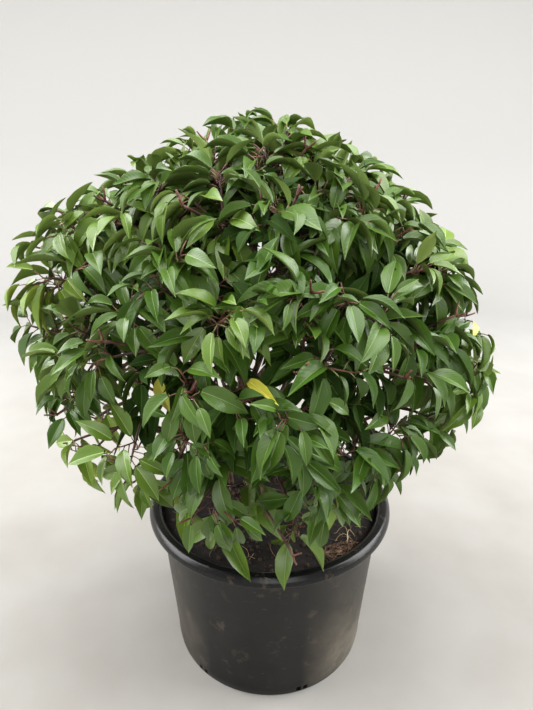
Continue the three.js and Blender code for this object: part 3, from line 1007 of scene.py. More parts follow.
@dataclass
class Foliage:
    """Sprays of leaves on twigs that grow on from the limbs of every mass.

    Lengths are in millimetres, and shares are of the crown's reach or of a curve. An opening is an
    azimuth, an elevation, a width in degrees and how much it thins the sprays. A sky line is a
    start, an end and how far sprays stay from it. A hanging spray is its end and its leaves.
    """

    plan: CrownPlan
    shape: LeafShape = field(default_factory=LeafShape)
    outer_sprays: int = 15
    inner_sprays: int = 9
    branchlets: int = 5
    fullness: float = 0.86
    fullness_rise: float = 0.42
    clear_height: float = 360.0
    clear_front: float = 26.0
    openings: tuple = ((-168, -26, 40, 0.6), (10, -30, 34, 0.42), (-108, -42, 24, 0.12),
                       (2, 12, 30, 0.12), (178, 8, 28, 0.1))
    sky_lines: tuple = (
        ((-145, -260, 550), (-246, 116, 382), 33), ((-118, -274, 508), (-198, 90, 306), 31),
        ((-180, -245, 495), (-262, 5, 352), 20),
        ((94, -265, 550), (200, 121, 376), 28), ((123, -254, 524), (225, 54, 371), 28),
        ((77, -276, 510), (164, 88, 308), 24),
    )
    strays: tuple = ((-162, 28), (-160, 38), (-156, 12), (-152, -26), (-134, 86), (-6, 84),
                     (-50, 78), (-16, 28), (-20, 8), (-24, 0), (-28, -6), (-30, -14))
    stray_share: float = 0.94
    hanging: tuple = (
        ((-66, -154, 312, 6), (-112, -104, 322, 3), (-22, -122, 350, 7)),
        ((20, -162, 296, 8), (74, -112, 338, 5)),
        ((118, 75, 326, 5), (80, 118, 322, 5)),
        ((-128, 62, 330, 4), (-80, 108, 320, 5)),
    )
    lime_tips: tuple = ((74, -112, 338), (-112, -104, 322))
    # The share of hanging sprays, which lie in the crown's shade, that take the lighter tint:
    # painted light.
    fresh_hanging: float = 0.85
    hanging_share: float = 0.84
    hanging_branchlets: int = 3
    stubs: int = 3
    stub_share: float = 0.91
    stub_rise: float = 0.9
    stub_from: float = 0.9
    stub_bow: float = 4.0
    stub_stem: tuple[float, float] = (2.0, 1.5)
    stub_fork: float = 0.65
    stub_turn: float = 0.9 * math.pi
    stub_curl: float = 1.5
    stub_length: tuple[float, float] = (9.0, 17.0)
    stub_radii: tuple[float, ...] = (1.5, 1.2, 1.1, 1.05)
    branch_share: float = 0.72
    branch_rings: int = 14
    branch_from: float = 0.98
    branch_span: float = 0.5
    branch_radii: tuple[float, float] = (2.7, 1.7)
    outer_shares: tuple[float, float] = (0.79, 0.905)
    inner_shares: tuple[float, float] = (0.62, 0.76)
    inner_spread: float = 22.0
    outer_spread: float = 28.0
    fill_spread: float = 24.0
    least_full: float = 0.22
    twig_length: float = 48.0
    twig_bow: float = 0.08
    twig_rings: int = 8
    twig_starts: tuple[float, float, int] = (0.35, 0.98, 12)
    twig_radii: tuple[float, float, float] = (1.8, 1.1, 0.35)
    leader_leaves: int = 6
    leader_step: float = 4.5
    side_leaves: int = 4
    side_twigs: int = 2
    side_places: tuple[float, float, float] = (0.86, 0.24, 0.08)
    side_length: tuple[float, float] = (20.0, 34.0)
    side_reach: float = 0.96
    side_forward: float = 0.75
    side_up: float = 0.25
    side_gap: float = 3.0
    side_sag: float = 1.5
    side_radii: tuple[float, ...] = (1.1, 0.95, 0.85, 0.3)
    side_step: float = 5.0
    side_leaf: float = 0.92
    leaf_length: float = 52.0
    leaf_slimness: float = 0.222
    leaf_widths: tuple[float, float] = (0.9, 1.1)
    leaf_lies: tuple = ((0.35, 1.05), (0.3, 0.95), (-0.6, 0.6))
    leaf_sizes: tuple[float, float] = (0.68, 1.12)
    tip_leaf: float = 0.78
    whorl_turn: float = 6.0
    turn_jitter: float = 0.3
    joints: tuple[float, float] = (0.1, 0.98)
    yellowed: tuple[tuple[float, float, float], ...] = ((-30.2, -246.4, 541.9),
                                                        (-124.5, -188.3, 535.2))
    yellow_reach: float = 2.5
    yellow_share: float = 0.0025
    # Painted light and shade in the leaves' colour, as tint_of deals it, with some younger growth
    # high up.
    tint_slopes: tuple[float, float, float, float] = (1.0, -1.45, 2.4, 0.7)
    tint_middles: tuple[float, float, float] = (0.86, 0.1, 0.45)
    tint_limits: tuple = ((1.62, Tint.LIME), (1.12, Tint.FRESH_AND_LIT), (0.5, Tint.MID))
    deep_share: float = 0.78
    deep_height: float = -0.3
    hanging_leaf: float = 1.32
    hanging_droop: float = 1.7
    leaves_a_piece: int = 1500
    petiole: float = 11.0
    petiole_lean: float = 0.2
    petiole_bend: float = 0.55
    petiole_overlap: float = 2.5
    petiole_radii: tuple[float, ...] = (0.9, 0.65, 0.55)
    tries: int = 6
    try_turn: float = 1.1
    try_tilt: float = 0.05
    face_up: float = 0.75
    face_out: float = 0.5
    roll: float = 0.55
    waist: float = 0.45
    waist_half: float = 10.0
    sampled: tuple[float, float] = (0.5, 0.92)
    tip_drop: float = 0.2
    past_reach: float = 2.0
    past_space: float = 14.0
    leaf_gap: float = 2.0
    droop: float = 0.75
    droops: tuple[float, float] = (0.5, 1.6)
    lift: float = 0.12
    first_tilt: float = 44.0
    tilt_step: float = 12.0
    last_tilt: float = 100.0
    seed: int = 101
    seed_step: int = 7919

    def __post_init__(self) -> None:
        """Starts empty lists of leaves, twigs and branchlets."""
        self.leaves: dict[Tint, list[Array]] = {tint: [] for tint in Tint}
        self.branches = Tubes(7)
        self.twigs = Tubes(5)
        self.side_shoots = Tubes(4)
        self.petioles = Tubes(3)

    def leaf_row(
        self, root: Array, along: Array, over: Array, length: float, stream: Stream
    ) -> Array:
        """Describes one leaf by the numbers that LeafShape.places reads.

        Args:
            root: Where its blade starts.
            along: The direction that the blade starts in.
            over: The way its upper face looks.
            length: The blade's length.
            stream: Where its fold, arch, twist and ripple are drawn from.

        Returns:
            The row of numbers.
        """
        half = length * self.leaf_slimness * stream.between(*self.leaf_widths)
        lie = [stream.between(*span) for span in self.leaf_lies]
        return np.concatenate([root, along, over, (length, half), lie, (stream(),)])

    def fit_leaf(
        self, mass: Mass, joint: Array, axis: Array, azimuth: float, first_tilt: float,
        length: float, tint: Tint, stream: Stream,
    ) -> None:
        """Grows one leaf on its petiole, turned or raised until it fits, or leaves it out.

        Args:
            mass: The mass that it belongs to.
            joint: Where the petiole leaves the twig.
            axis: The twig's direction there.
            azimuth: The leaf's turn round the twig.
            first_tilt: The angle that it makes with the twig, in radians.
            length: The blade's length.
            tint: Its colour.
            stream: Where its lie is drawn from.
        """
        side, over = cross_frame(axis)
        droop = self.droop * stream.between(*self.droops)
        droop *= 1 if mass.on_trunk else self.hanging_droop
        for attempt in range(self.tries):
            turn = azimuth + attempt * self.try_turn
            tilt = first_tilt + (self.try_tilt if attempt % 2 else -self.try_tilt) * attempt
            along = axis * math.cos(tilt) + side * math.sin(tilt) * math.cos(turn)
            along = along + over * math.sin(tilt) * math.sin(turn)
            start = unit(along + axis * self.petiole_lean)
            along = unit(along + axis * droop * axis[2] - UP * droop)
            root = joint + start * self.petiole
            outward = unit(root - self.plan.middle)
            face = UP * self.face_up + outward * self.face_out
            face = unit(face - along * (face @ along))
            aside = np.cross(along, face)
            roll = stream.between(-self.roll, self.roll)
            face = face * math.cos(roll) + aside * math.sin(roll)
            centre, tip, waist = (
                root + along * length * share for share in (*self.sampled, self.waist))
            half = aside * self.waist_half
            samples = np.array([
                centre, tip - face * length * self.tip_drop, waist + half, waist - half])
            rays = samples - self.plan.middle
            far = np.linalg.norm(rays, axis=1)
            if (far > self.plan.reach(rays / far[:, None]) + self.past_reach).any():
                continue
            if (self.plan.depth(samples[:2], mass) < -self.past_space).any():
                continue
            if not self.plan.is_free(samples, self.leaf_gap):
                continue
            self.leaves[tint].append(self.leaf_row(root, along, face, length, stream))
            bend = joint + start * self.petiole * self.petiole_bend
            end = root + along * self.petiole_overlap
            self.petioles.add(np.array([joint, bend, end]), np.array(self.petiole_radii))
            return

    def tint_of(self, tip: Array, share: float, stream: Stream) -> Tint:
        """Deals a colour to a spray by its place.

        It tends to be lighter high up, low down, far out and far to the side. Lighter high up is
        partly younger growth and partly painted light; lighter low down, far out and far to the
        side is painted light, and darker in the middle is painted shade. The inner sprays take the
        darkest tint, partly for older leaves and partly as painted shade, and a less dark one low
        down as painted light.

        Args:
            tip: The end of the spray's twig.
            share: Its share of the crown's reach.
            stream: Where the draw comes from.

        Returns:
            The colour.
        """
        aside, _, height = (tip - self.plan.middle) / self.plan.radius
        above, below, outwards, sideways = self.tint_slopes
        # Lighter high up, partly younger growth and partly painted light, and lighter low down:
        # painted light.
        draw = stream() + (above if height > 0 else below) * height
        usual_share, axis, usual_aside = self.tint_middles
        # Painted light far out and to the left and right, painted shade in the middle.
        draw += outwards * (share - usual_share)
        draw += sideways * (abs(aside - axis) - usual_aside)
        # Painted shade in the inner sprays, partly older leaves, eased low down as painted light.
        if share < self.deep_share:
            return Tint.DEEP if height > self.deep_height else Tint.DARK
        return next((tint for limit, tint in self.tint_limits if draw > limit), Tint.DARK)

    def whorl(
        self, mass: Mass, twig: Bezier, count: int, step: float, tint: Tint, scale: float,
        stream: Stream,
    ) -> None:
        """Grows the leaves round the end of a twig, the nearest to its tip the steepest.

        Args:
            mass: The mass that they belong to.
            twig: The twig.
            count: How many leaves there are.
            step: The distance between their joints.
            tint: Their colour.
            scale: Their size.
            stream: Where their turns and sizes are drawn from.
        """
        length = twig.length()
        low, high = self.joints
        first = self.whorl_turn * stream()
        for j in range(count):
            t = max(high - j * step / length, low)
            axis = unit(twig.tangent(t) + UP * self.lift)
            size = scale * stream.between(*self.leaf_sizes) * (self.tip_leaf if j == 0 else 1.0)
            tilt = math.radians(min(self.first_tilt + self.tilt_step * j, self.last_tilt))
            joint = twig.at(t)
            aged = np.linalg.norm(np.array(self.yellowed) - joint, axis=1).min() < self.yellow_reach
            leaf_tint = Tint.YELLOW if stream() < self.yellow_share or aged else tint
            turn = first + j * GOLDEN_TURN + stream.between(-self.turn_jitter, self.turn_jitter)
            self.fit_leaf(mass, joint, axis, turn, tilt, self.leaf_length * size, leaf_tint, stream)

    def twig_between(self, root: Array, tip: Array) -> Bezier:
        """Gives the curve of a twig, bowed upwards by a share of its length."""
        return bowed(root, tip, UP * self.twig_bow * float(np.linalg.norm(tip - root)))

    def spray(self, mass: Mass, parent: Bezier, tip: Array, share: float, leaves: int,
              stream: Stream) -> None:
        """Grows one twig with its side shoots and their leaves.

        Args:
            mass: The mass that it belongs to.
            parent: The limb or branchlet that it leaves.
            tip: Where it ends.
            share: Its share of the crown's reach.
            leaves: How many leaves stand round its end.
            stream: Where its jitter is drawn from.
        """
        starts = parent.at(np.linspace(*self.twig_starts))
        away = np.linalg.norm(starts - tip, axis=1)
        root = starts[int(np.argmin(np.abs(away - max(away.min(), self.twig_length))))]
        twig = self.twig_between(root, tip)
        *ends, tip_radius = self.twig_radii
        taper = np.linspace(*ends, self.twig_rings)
        taper[-1] = tip_radius
        self.twigs.follow(twig, taper)
        tint = self.tint_of(tip, share, stream)
        # Painted light: the hanging sprays, in the crown's shade, mostly take the lighter tints.
        if not mass.on_trunk:
            tint = Tint.FRESH_AND_LIT if stream() < self.fresh_hanging else Tint.MID
            tint = Tint.LIME if tuple(tip) in self.lime_tips else tint
        scale = 1.0 if mass.on_trunk else self.hanging_leaf
        self.whorl(mass, twig, leaves, self.leader_step, tint, scale, stream)
        first, step, jitter = self.side_places
        for k in range(self.side_twigs if mass.on_trunk else 0):
            at = first - step * k - jitter * stream()
            axis = twig.tangent(at)
            side, over = cross_frame(axis)
            turn = DEALT_TURN * stream()
            aim = unit(axis * self.side_forward + side * math.cos(turn) + over * math.sin(turn)
                       + UP * self.side_up)
            base = twig.at(at)
            end = base + aim * stream.between(*self.side_length)
            ray = end - self.plan.middle
            far = float(np.linalg.norm(ray))
            if far > self.plan.reach(ray / far) * self.side_reach:
                continue
            if not self.plan.is_free(end, self.side_gap):
                continue
            shoot = bowed(base, end, UP * -self.side_sag)
            self.side_shoots.follow(shoot, np.array(self.side_radii))
            self.whorl(mass, shoot, self.side_leaves, self.side_step, tint, self.side_leaf, stream)

    def fullness_of(self, mass: Mass) -> float:
        """Tells how closely a mass is set with sprays: thinner low down and where sky shows.

        Args:
            mass: The mass.

        Returns:
            The share of the full number of sprays.
        """
        full = min(self.fullness + self.fullness_rise * float(mass.direction[2]), 1.0)
        for azimuth, elevation, width, share in self.openings:
            off = math.acos(float(np.clip(mass.direction @ heading(azimuth, elevation), -1, 1)))
            full -= share * math.exp(-(off / math.radians(width)) ** 2)
        return max(full, self.least_full)

    def in_sky_line(self, tip: Array) -> bool:
        """Tells whether a point lies in one of the gaps that sky shows through.

        Args:
            tip: The point.

        Returns:
            True if it does.
        """
        for start, end, width in self.sky_lines:
            line = np.array(end, dtype=float) - start
            share = float(np.clip((tip - start) @ line / (line @ line), 0, 1))
            if np.linalg.norm(tip - start - share * line) < width:
                return True
        return False

    def clearance(self, tip: Array) -> float:
        """Gives the height that a spray of the trunk's masses stays over, more at the front.

        Args:
            tip: The spray's end.

        Returns:
            The height.
        """
        outward = tip[:2] - self.plan.middle[:2]
        front = -outward[1] / max(float(np.hypot(*outward)), 1.0)
        return self.clear_height + self.clear_front * max(front, 0.0)

    def grow_branchlets(self, mass: Mass, stream: Stream) -> list[Bezier]:
        """Grows the branchlets that fork from the limb of a mass.

        Args:
            mass: The mass.
            stream: Where their places are drawn from.

        Returns:
            The limb and the branchlets.
        """
        limbs = [mass.limb]
        count = self.branchlets if mass.on_trunk else self.hanging_branchlets
        for i in range(count):
            tip = self.plan.spread_point(
                mass, i, count, self.branch_share, self.inner_spread, stream)
            if tip is None:
                continue
            root = mass.limb.at(self.branch_from - self.branch_span * (1 - mass.entry) * stream())
            limbs.append(self.twig_between(root, tip))
            self.branches.follow(limbs[-1], np.linspace(*self.branch_radii, self.branch_rings))
        return limbs

    def crown_tips(self, mass: Mass, stream: Stream) -> list[tuple[Array, float, int]]:
        """Spreads the ends of the sprays of a mass on the trunk, and adds its stray shoots.

        Args:
            mass: The mass.
            stream: Where their places are drawn from.

        Returns:
            Each end with its share of the crown's reach and its number of leaves.
        """
        full = self.fullness_of(mass)
        tips = []
        for sprays, shares, spread in (
            (round(self.outer_sprays * full), self.outer_shares, self.outer_spread),
            (round(self.inner_sprays * full**2), self.inner_shares, self.fill_spread),
        ):
            for i in range(sprays):
                share = stream.between(*shares)
                tip = self.plan.spread_point(mass, i, sprays, share, spread, stream)
                if tip is None or tip[2] < self.clearance(tip) or self.in_sky_line(tip):
                    continue
                tips.append((tip, share, self.leader_leaves))
        for azimuth, elevation in self.strays:
            aim = heading(azimuth, elevation)
            tip = self.plan.middle + aim * self.plan.reach(aim) * self.stray_share
            if self.plan.depth(tip, mass) > self.plan.space_gap:
                tips.append((tip, self.stray_share, self.leader_leaves))
        return tips

    def hanging_tips(self, mass: Mass) -> list[tuple[Array, float, int]]:
        """Gives the ends of the sprays of a mass that hangs over the pot's rim."""
        return [(np.array(tip, dtype=float), self.hanging_share, leaves)
                for *tip, leaves in self.hanging[int(mass.name[-1]) - 1]]

    def grow(self) -> None:
        """Grows every mass's branchlets, sprays and clipped stubs."""
        for number, mass in enumerate(self.plan.masses):
            stream = Stream(self.seed + self.seed_step * number)
            limbs = self.grow_branchlets(mass, stream)
            tips = self.crown_tips(mass, stream) if mass.on_trunk else self.hanging_tips(mass)
            for tip, share, leaves in tips:
                self.spray(mass, nearest(limbs, tip), tip, share, leaves, stream)
            if mass.on_trunk:
                self.cut_stubs(mass, limbs, stream)

    def cut_stubs(self, mass: Mass, limbs: list[Bezier], stream: Stream) -> None:
        """Grows the bare forked ends that clipping leaves on the crown.

        Args:
            mass: The mass that they belong to.
            limbs: The limb and branchlets that they can leave.
            stream: Where their turns are drawn from.
        """
        for i in range(self.stubs):
            tip = self.plan.spread_point(
                mass, i, self.stubs, self.stub_share, self.inner_spread, stream)
            if tip is None:
                continue
            stem = bowed(nearest(limbs, tip).at(self.stub_from), tip, UP * self.stub_bow)
            self.twigs.follow(stem, np.linspace(*self.stub_stem, self.twig_rings))
            axis = unit(stem.tangent(1.0) + UP * self.stub_rise)
            side, over = cross_frame(axis)
            turn = DEALT_TURN * stream()
            for fork in (0.0, self.stub_turn):
                aim = side * math.cos(turn + fork) + over * math.sin(turn + fork)
                end = tip + unit(axis + aim * self.stub_fork) * stream.between(*self.stub_length)
                shoot = Bezier((tip - axis, (tip + end) / 2 + aim * self.stub_curl, end))
                self.side_shoots.follow(shoot, np.array(self.stub_radii))

    def leaf_piece(self, tint: Tint, number: int, rows: Array) -> bpy.types.Object:
        """Joins the leaves of one colour into a piece.

        Args:
            tint: Their colour.
            number: The piece's number among those of the colour.
            rows: The leaves' rows.

        Returns:
            The piece.
        """
        faces, numbers, margin = self.shape.topology()
        points, uv = self.shape.places(rows)
        total = points.shape[1]
        starts = (np.arange(len(rows)) * total)[:, None, None]
        joined = [(group[None] + starts).reshape(-1, group.shape[1]) for group in faces]
        split = np.split(numbers, [len(faces[0])])
        all_numbers = np.concatenate([np.tile(part, len(rows)) for part in split])
        made = mesh_object(f"leaves_{tint.value.name}_{number}", points.reshape(-1, 3), joined,
                           tint.value.build(), uv.reshape(-1, 2), all_numbers)
        mesh = made.data
        pairs = np.empty(len(mesh.edges) * 2, dtype=np.int32)
        mesh.edges.foreach_get("vertices", pairs)
        pairs = pairs.reshape(-1, 2) % total
        mesh.edges.foreach_set("use_edge_sharp", margin[pairs[:, 0], pairs[:, 1]])
        return made

    def build(self) -> None:
        """Makes the pieces of leaves, twigs, side shoots and petioles."""
        self.grow()
        nodes = [f"foliage_{mass.name}" for mass in self.plan.masses]
        for tint, rows in self.leaves.items():
            LOG.info("%s leaves: %d", tint.value.name, len(rows))
            for number, start in enumerate(range(0, len(rows), self.leaves_a_piece), 1):
                part = np.array(rows[start:start + self.leaves_a_piece])
                carry(self.leaf_piece(tint, number, part), "foliage", *nodes)
        for name, tubes, strand in (
            ("twigs", self.twigs, Strand.TWIG),
            ("side_shoots", self.side_shoots, Strand.SHOOT),
            ("petioles", self.petioles, Strand.STALK),
        ):
            carry(tube_object(name, tubes, strand), "bark", *nodes)


@dataclass
class Limbs:
    """The trunk, the boughs, the low shoots and their branchlets, with the relief of the bark."""

    plan: CrownPlan
    trunk_sides: int = 26
    bough_sides: int = 14
    relief: float = 0.1
    ridge_size: float = 5.0
    ridge_stretch: float = 3.0
    ridge_round: float = 2.2
    ridge_shares: tuple[float, float] = (1.3, 0.8)
    scar_spacing: float = 24.0
    scar_width: float = 1.6
    scar_gain: float = 0.22
    scar_turn: float = 2.4
    trunk_step: float = 2.5
    bough_step: float = 4.0
    collar: float = 0.45
    shoot_collar: float = 0.25
    collar_length: float = 9.0
    seeds: tuple[float, float, float] = (3.1, 11.7, 5.3)

    def roughened(self, vertices: Array, path: Array, sides: int, seed: float) -> Array:
        """Raises ridges, hollows and old leaf scars on a limb.

        Args:
            vertices: The limb's smooth vertices, ring by ring.
            path: The middle of each ring.
            sides: How many vertices a ring has.
            seed: Where its pattern starts.

        Returns:
            The vertices with their relief.
        """
        rings = vertices.reshape(-1, sides, 3)
        run = np.concatenate([[0], np.cumsum(np.linalg.norm(np.diff(path, axis=0), axis=1))])
        rough = np.empty_like(rings)
        broad, narrow = self.ridge_shares
        for i, (middle, ring) in enumerate(zip(path, rings)):
            from_scar = run[i] % self.scar_spacing - self.scar_spacing / 2
            scar = math.exp(-(from_scar / self.scar_width) ** 2)
            turn = math.floor(run[i] / self.scar_spacing) * self.scar_turn
            for k, point in enumerate(ring):
                around = k * 2 * math.pi / sides
                place = Vector((math.cos(around) * self.ridge_round,
                                math.sin(around) * self.ridge_round,
                                run[i] / (self.ridge_stretch * self.ridge_size) + seed))
                fine = Vector(tuple(point / self.ridge_size)) + Vector((seed, 0, 0))
                swell = noise.noise(place) * broad + noise.noise(fine) * narrow
                facing = 0.5 + 0.5 * math.cos(around - seed - turn)
                gain = 1 + self.relief * swell + self.scar_gain * scar * facing
                rough[i, k] = middle + (point - middle) * gain
        return rough.reshape(-1, 3)

    def rough_tube(
        self, path: Array, radii: Array, sides: int, seed: float
    ) -> tuple[Array, list[Array], Array]:
        """Makes one limb with its relief along points.

        Args:
            path: The points.
            radii: Its radius at each.
            sides: How many sides it has.
            seed: Where its pattern starts.

        Returns:
            Its vertices, its faces grouped by their number of corners, and the vertices' places.
        """
        tube = Tubes(sides)
        tube.add(path, radii)
        vertices, faces, uv = tube.arrays()
        return self.roughened(vertices, path, sides, seed), faces, uv

    def limb(self, curve: Bezier, radius: Callable[[float], float], sides: int, step: float,
             collar: float, seed: float) -> tuple[Array, list[Array], Array]:
        """Makes one limb with its relief and its collar along a curve.

        Args:
            curve: Its middle line.
            radius: Its radius at a share of the curve.
            sides: How many sides it has.
            step: The distance between its rings.
            collar: How much wider it is where it leaves its parent.
            seed: Where its pattern starts.

        Returns:
            Its vertices, its faces grouped by their number of corners, and the vertices' places.
        """
        length = curve.length()
        t = np.linspace(0, 1, max(int(length / step), 4))
        radii = np.array([
            radius(float(s)) * (1 + collar * math.exp(-s * length / self.collar_length)) for s in t
        ])
        return self.rough_tube(curve.at(t), radii, sides, seed)

    def build(self, branches: Tubes) -> None:
        """Joins the limbs into one piece.

        Args:
            branches: The branchlets inside the masses.
        """
        trunk_seed, bough_seed, branch_seed = self.seeds
        parts = [self.limb(self.plan.trunk, self.plan.trunk_radius, self.trunk_sides,
                           self.trunk_step, 0.0, trunk_seed)]
        for number, mass in enumerate(self.plan.masses):
            collar = self.collar if mass.on_trunk else self.shoot_collar
            parts.append(self.limb(mass.limb, lambda t, m=mass: self.plan.limb_radius(m, t),
                                   self.bough_sides, self.bough_step, collar,
                                   bough_seed * (number + 1)))
        for number, (path, radii) in enumerate(zip(branches.paths, branches.radii)):
            parts.append(self.rough_tube(path, radii, branches.sides, branch_seed * number))
        vertices, groups, places, start = [], {}, [], 0
        for points, faces, uv in parts:
            for group in faces:
                groups.setdefault(group.shape[1], []).append(group + start)
            vertices.append(points)
            places.append(uv)
            start += len(points)
        made = mesh_object("trunk_and_boughs", np.concatenate(vertices),
                           [np.concatenate(group) for group in groups.values()],
                           Strand.LIMB.value.build(), np.concatenate(places))
        names = ["trunk"]
        names += [f"{'bough' if m.on_trunk else 'shoot'}_{m.name}" for m in self.plan.masses]
        carry(made, "bark", *names)


def deselect() -> None:
    """Leaves edit mode, if it is on, and deselects everything."""
    if bpy.context.object and bpy.context.object.mode != "OBJECT":
        bpy.ops.object.mode_set(mode="OBJECT")
    bpy.ops.object.select_all(action="DESELECT")


def select_only(*objects: bpy.types.Object) -> None:
    """Selects some objects alone and makes the first one active.

    Args:
        objects: The objects.
    """
    deselect()
    for chosen in objects:
        chosen.select_set(True)
    bpy.context.view_layer.objects.active = objects[0]


def apply_modifiers(made: bpy.types.Object) -> None:
    """Applies all the modifiers of an object in their order.

    Args:
        made: The object.
    """
    select_only(made)
    for modifier in list(made.modifiers):
        bpy.ops.object.modifier_apply(modifier=modifier.name)


def place_in_mesh(made: bpy.types.Object) -> None:
    """Moves an object's place, turn and scale into its mesh."""
    select_only(made)
    bpy.ops.object.transform_apply(location=True, rotation=True, scale=True)


def grow_rings(
    name: str, sides: int, profile: Sequence[tuple[float, float]], from_edge: bool = False
) -> bpy.types.Object:
    """Raises a round wall from a disc by extruding it from height to height.

    Args:
        name: The object's name.
        sides: How many sides it has.
        profile: Radii and heights in metres, in the order that the disc takes them.
        from_edge: True where the disc stays in place and only its edge is extruded.

    Returns:
        The object, in edit mode.
    """
    deselect()
    (radius, height), *rest = profile
    bpy.ops.mesh.primitive_circle_add(vertices=sides, radius=radius, fill_type="NGON",
                                      location=(0, 0, height))
    made = bpy.context.object
    made.name = name
    place_in_mesh(made)
    bpy.ops.object.mode_set(mode="EDIT")
    bpy.ops.mesh.select_mode(type="EDGE" if from_edge else "FACE")
    bpy.ops.mesh.select_all(action="SELECT")
    extrude = bpy.ops.mesh.extrude_edges_move if from_edge else bpy.ops.mesh.extrude_region_move
    for next_radius, next_height in rest:
        extrude(TRANSFORM_OT_translate={"value": (0, 0, next_height - height)})
        scale = next_radius / radius
        bpy.ops.transform.resize(value=(scale, scale, 1), center_override=(0, 0, next_height))
        radius, height = next_radius, next_height
    return made


def turn_faces_out() -> None:
    """Makes all the faces of the object in edit mode point outwards, and leaves edit mode."""
    bpy.ops.mesh.select_all(action="SELECT")
    bpy.ops.mesh.normals_make_consistent(inside=False)
    bpy.ops.object.mode_set(mode="OBJECT")


def bevel_rings(made: bpy.types.Object, rings: Sequence[tuple[float, float]], width: float,
                segments: int) -> None:
    """Rounds the edges that run round an object at given radii and heights.

    Args:
        made: The object, in edit mode.
        rings: The radii and heights.
        width: The width of the rounding.
        segments: How many faces it has across.
    """
    bpy.ops.mesh.select_mode(type="EDGE")
    bpy.ops.mesh.select_all(action="DESELECT")
    shell = bmesh.from_edit_mesh(made.data)
    for edge in shell.edges:
        edge.select_set(any(
            all(abs(v.co.z - z) < 1e-4 and abs(v.co.xy.length - r) < 1e-4 for v in edge.verts)
            for r, z in rings
        ))
    bmesh.update_edit_mesh(made.data)
    bpy.ops.mesh.bevel(offset=width, segments=segments, profile=0.5, affect="EDGES")


@dataclass
class NurseryPot:
    """The pot: a tapering wall under a broad rolled rim, with drain openings round its foot."""

    sides: int = 128
    height: float = 0.249
    foot_radius: float = 0.150
    neck_radius: float = 0.168
    wall: float = 0.0035
    floor: float = 0.005
    rim_radius: float = 0.185
    rim_depth: float = 0.018
    mouth_radius: float = 0.165
    foot_ring_height: float = 0.013
    drain_count: int = 6
    drain_first: float = -73.0
    drain_width: float = 0.0068
    drain_foot: float = 0.0018
    drain_height: float = 0.0098
    drain_depth: float = 0.011
    drain_pair: float = 0.0108
    drain_round: float = 0.0018
    rim_round: float = 0.0019
    round_faces: int = 3
    smooth_under: float = 35.0

    def wall_radius(self, height: float) -> float:
        """Gives the outer radius of the plain wall at a height."""
        neck = self.height - self.rim_depth
        return self.foot_radius + (self.neck_radius - self.foot_radius) * height / neck

    def shell(self) -> bpy.types.Object:
        """Models the wall, the rim and the floor.

        Returns:
            The closed shell, in object mode.
        """
        neck = self.height - self.rim_depth
        ring = self.foot_ring_height
        rim, mouth, inner = self.rim_radius, self.mouth_radius, self.neck_radius - self.wall
        profile = [
            # The raised underside, the foot and the ring that stands out over it.
            (self.foot_radius - 0.012, 0.0022), (self.foot_radius - 0.010, 0.0),
            (self.foot_radius, 0.0), (self.wall_radius(ring) + 0.0009, ring),
            (self.wall_radius(ring + 0.0025) + 0.0001, ring + 0.0025),
            # The wall up to the neck.
            (self.wall_radius(neck * 0.5), neck * 0.5), (self.neck_radius, neck - 0.001),
            # The rim from its lower lip over its top into the mouth.
            (rim - 0.0045, neck), (rim, neck + 0.0045),
            (rim - 0.0006, self.height - 0.007), (rim - 0.006, self.height - 0.0005),
            (mouth + 0.006, self.height), (mouth + 0.0008, self.height - 0.004),
            (mouth, self.height - 0.012),
            # The inside down to the floor.
            (inner, neck - 0.004), (self.foot_radius - self.wall, self.floor),
        ]
        made = grow_rings("pot_body", self.sides, profile)
        bevel_rings(made, profile[2:3] + profile[6:13], self.rim_round, self.round_faces)
        turn_faces_out()
        return made

    def drain_cutter(self) -> bpy.types.Object:
        """Models the rounded blocks that cut the drain openings, in pairs with a web between.

        Returns:
            The blocks as one object.
        """
        blocks = []
        for i in range(self.drain_count):
            azimuth = math.radians(self.drain_first + i * 360 / self.drain_count)
            for turn in (-0.5, 0.5):
                deselect()
                bpy.ops.mesh.primitive_cube_add(size=1)
                block = bpy.context.object
                spot = Vector((self.foot_radius - 0.001, turn * self.drain_pair,
                               self.drain_foot + self.drain_height / 2))
                block.matrix_world = (
                    Matrix.Rotation(azimuth, 4, "Z") @ Matrix.Translation(spot)
                    @ Matrix.Diagonal((self.drain_depth, self.drain_width, self.drain_height, 1))
                )
                place_in_mesh(block)
                bpy.ops.object.mode_set(mode="EDIT")
                bpy.ops.mesh.select_all(action="SELECT")
                bpy.ops.mesh.bevel(offset=self.drain_round, segments=self.round_faces,
                                   affect="EDGES")
                bpy.ops.object.mode_set(mode="OBJECT")
                blocks.append(block)
        select_only(*blocks)
        bpy.ops.object.join()
        return bpy.context.object

    def build(self) -> None:
        """Makes the pot."""
        made = self.shell()
        cutter = self.drain_cutter()
        cut = made.modifiers.new("drains", "BOOLEAN")
        cut.operation = "DIFFERENCE"
        cut.solver = "EXACT"
        cut.object = cutter
        apply_modifiers(made)
        bpy.data.objects.remove(cutter)
        select_only(made)
        bpy.ops.object.shade_smooth_by_angle(angle=math.radians(self.smooth_under))
        dress(made, PotFinish())
        carry(made, "pot", "pot")


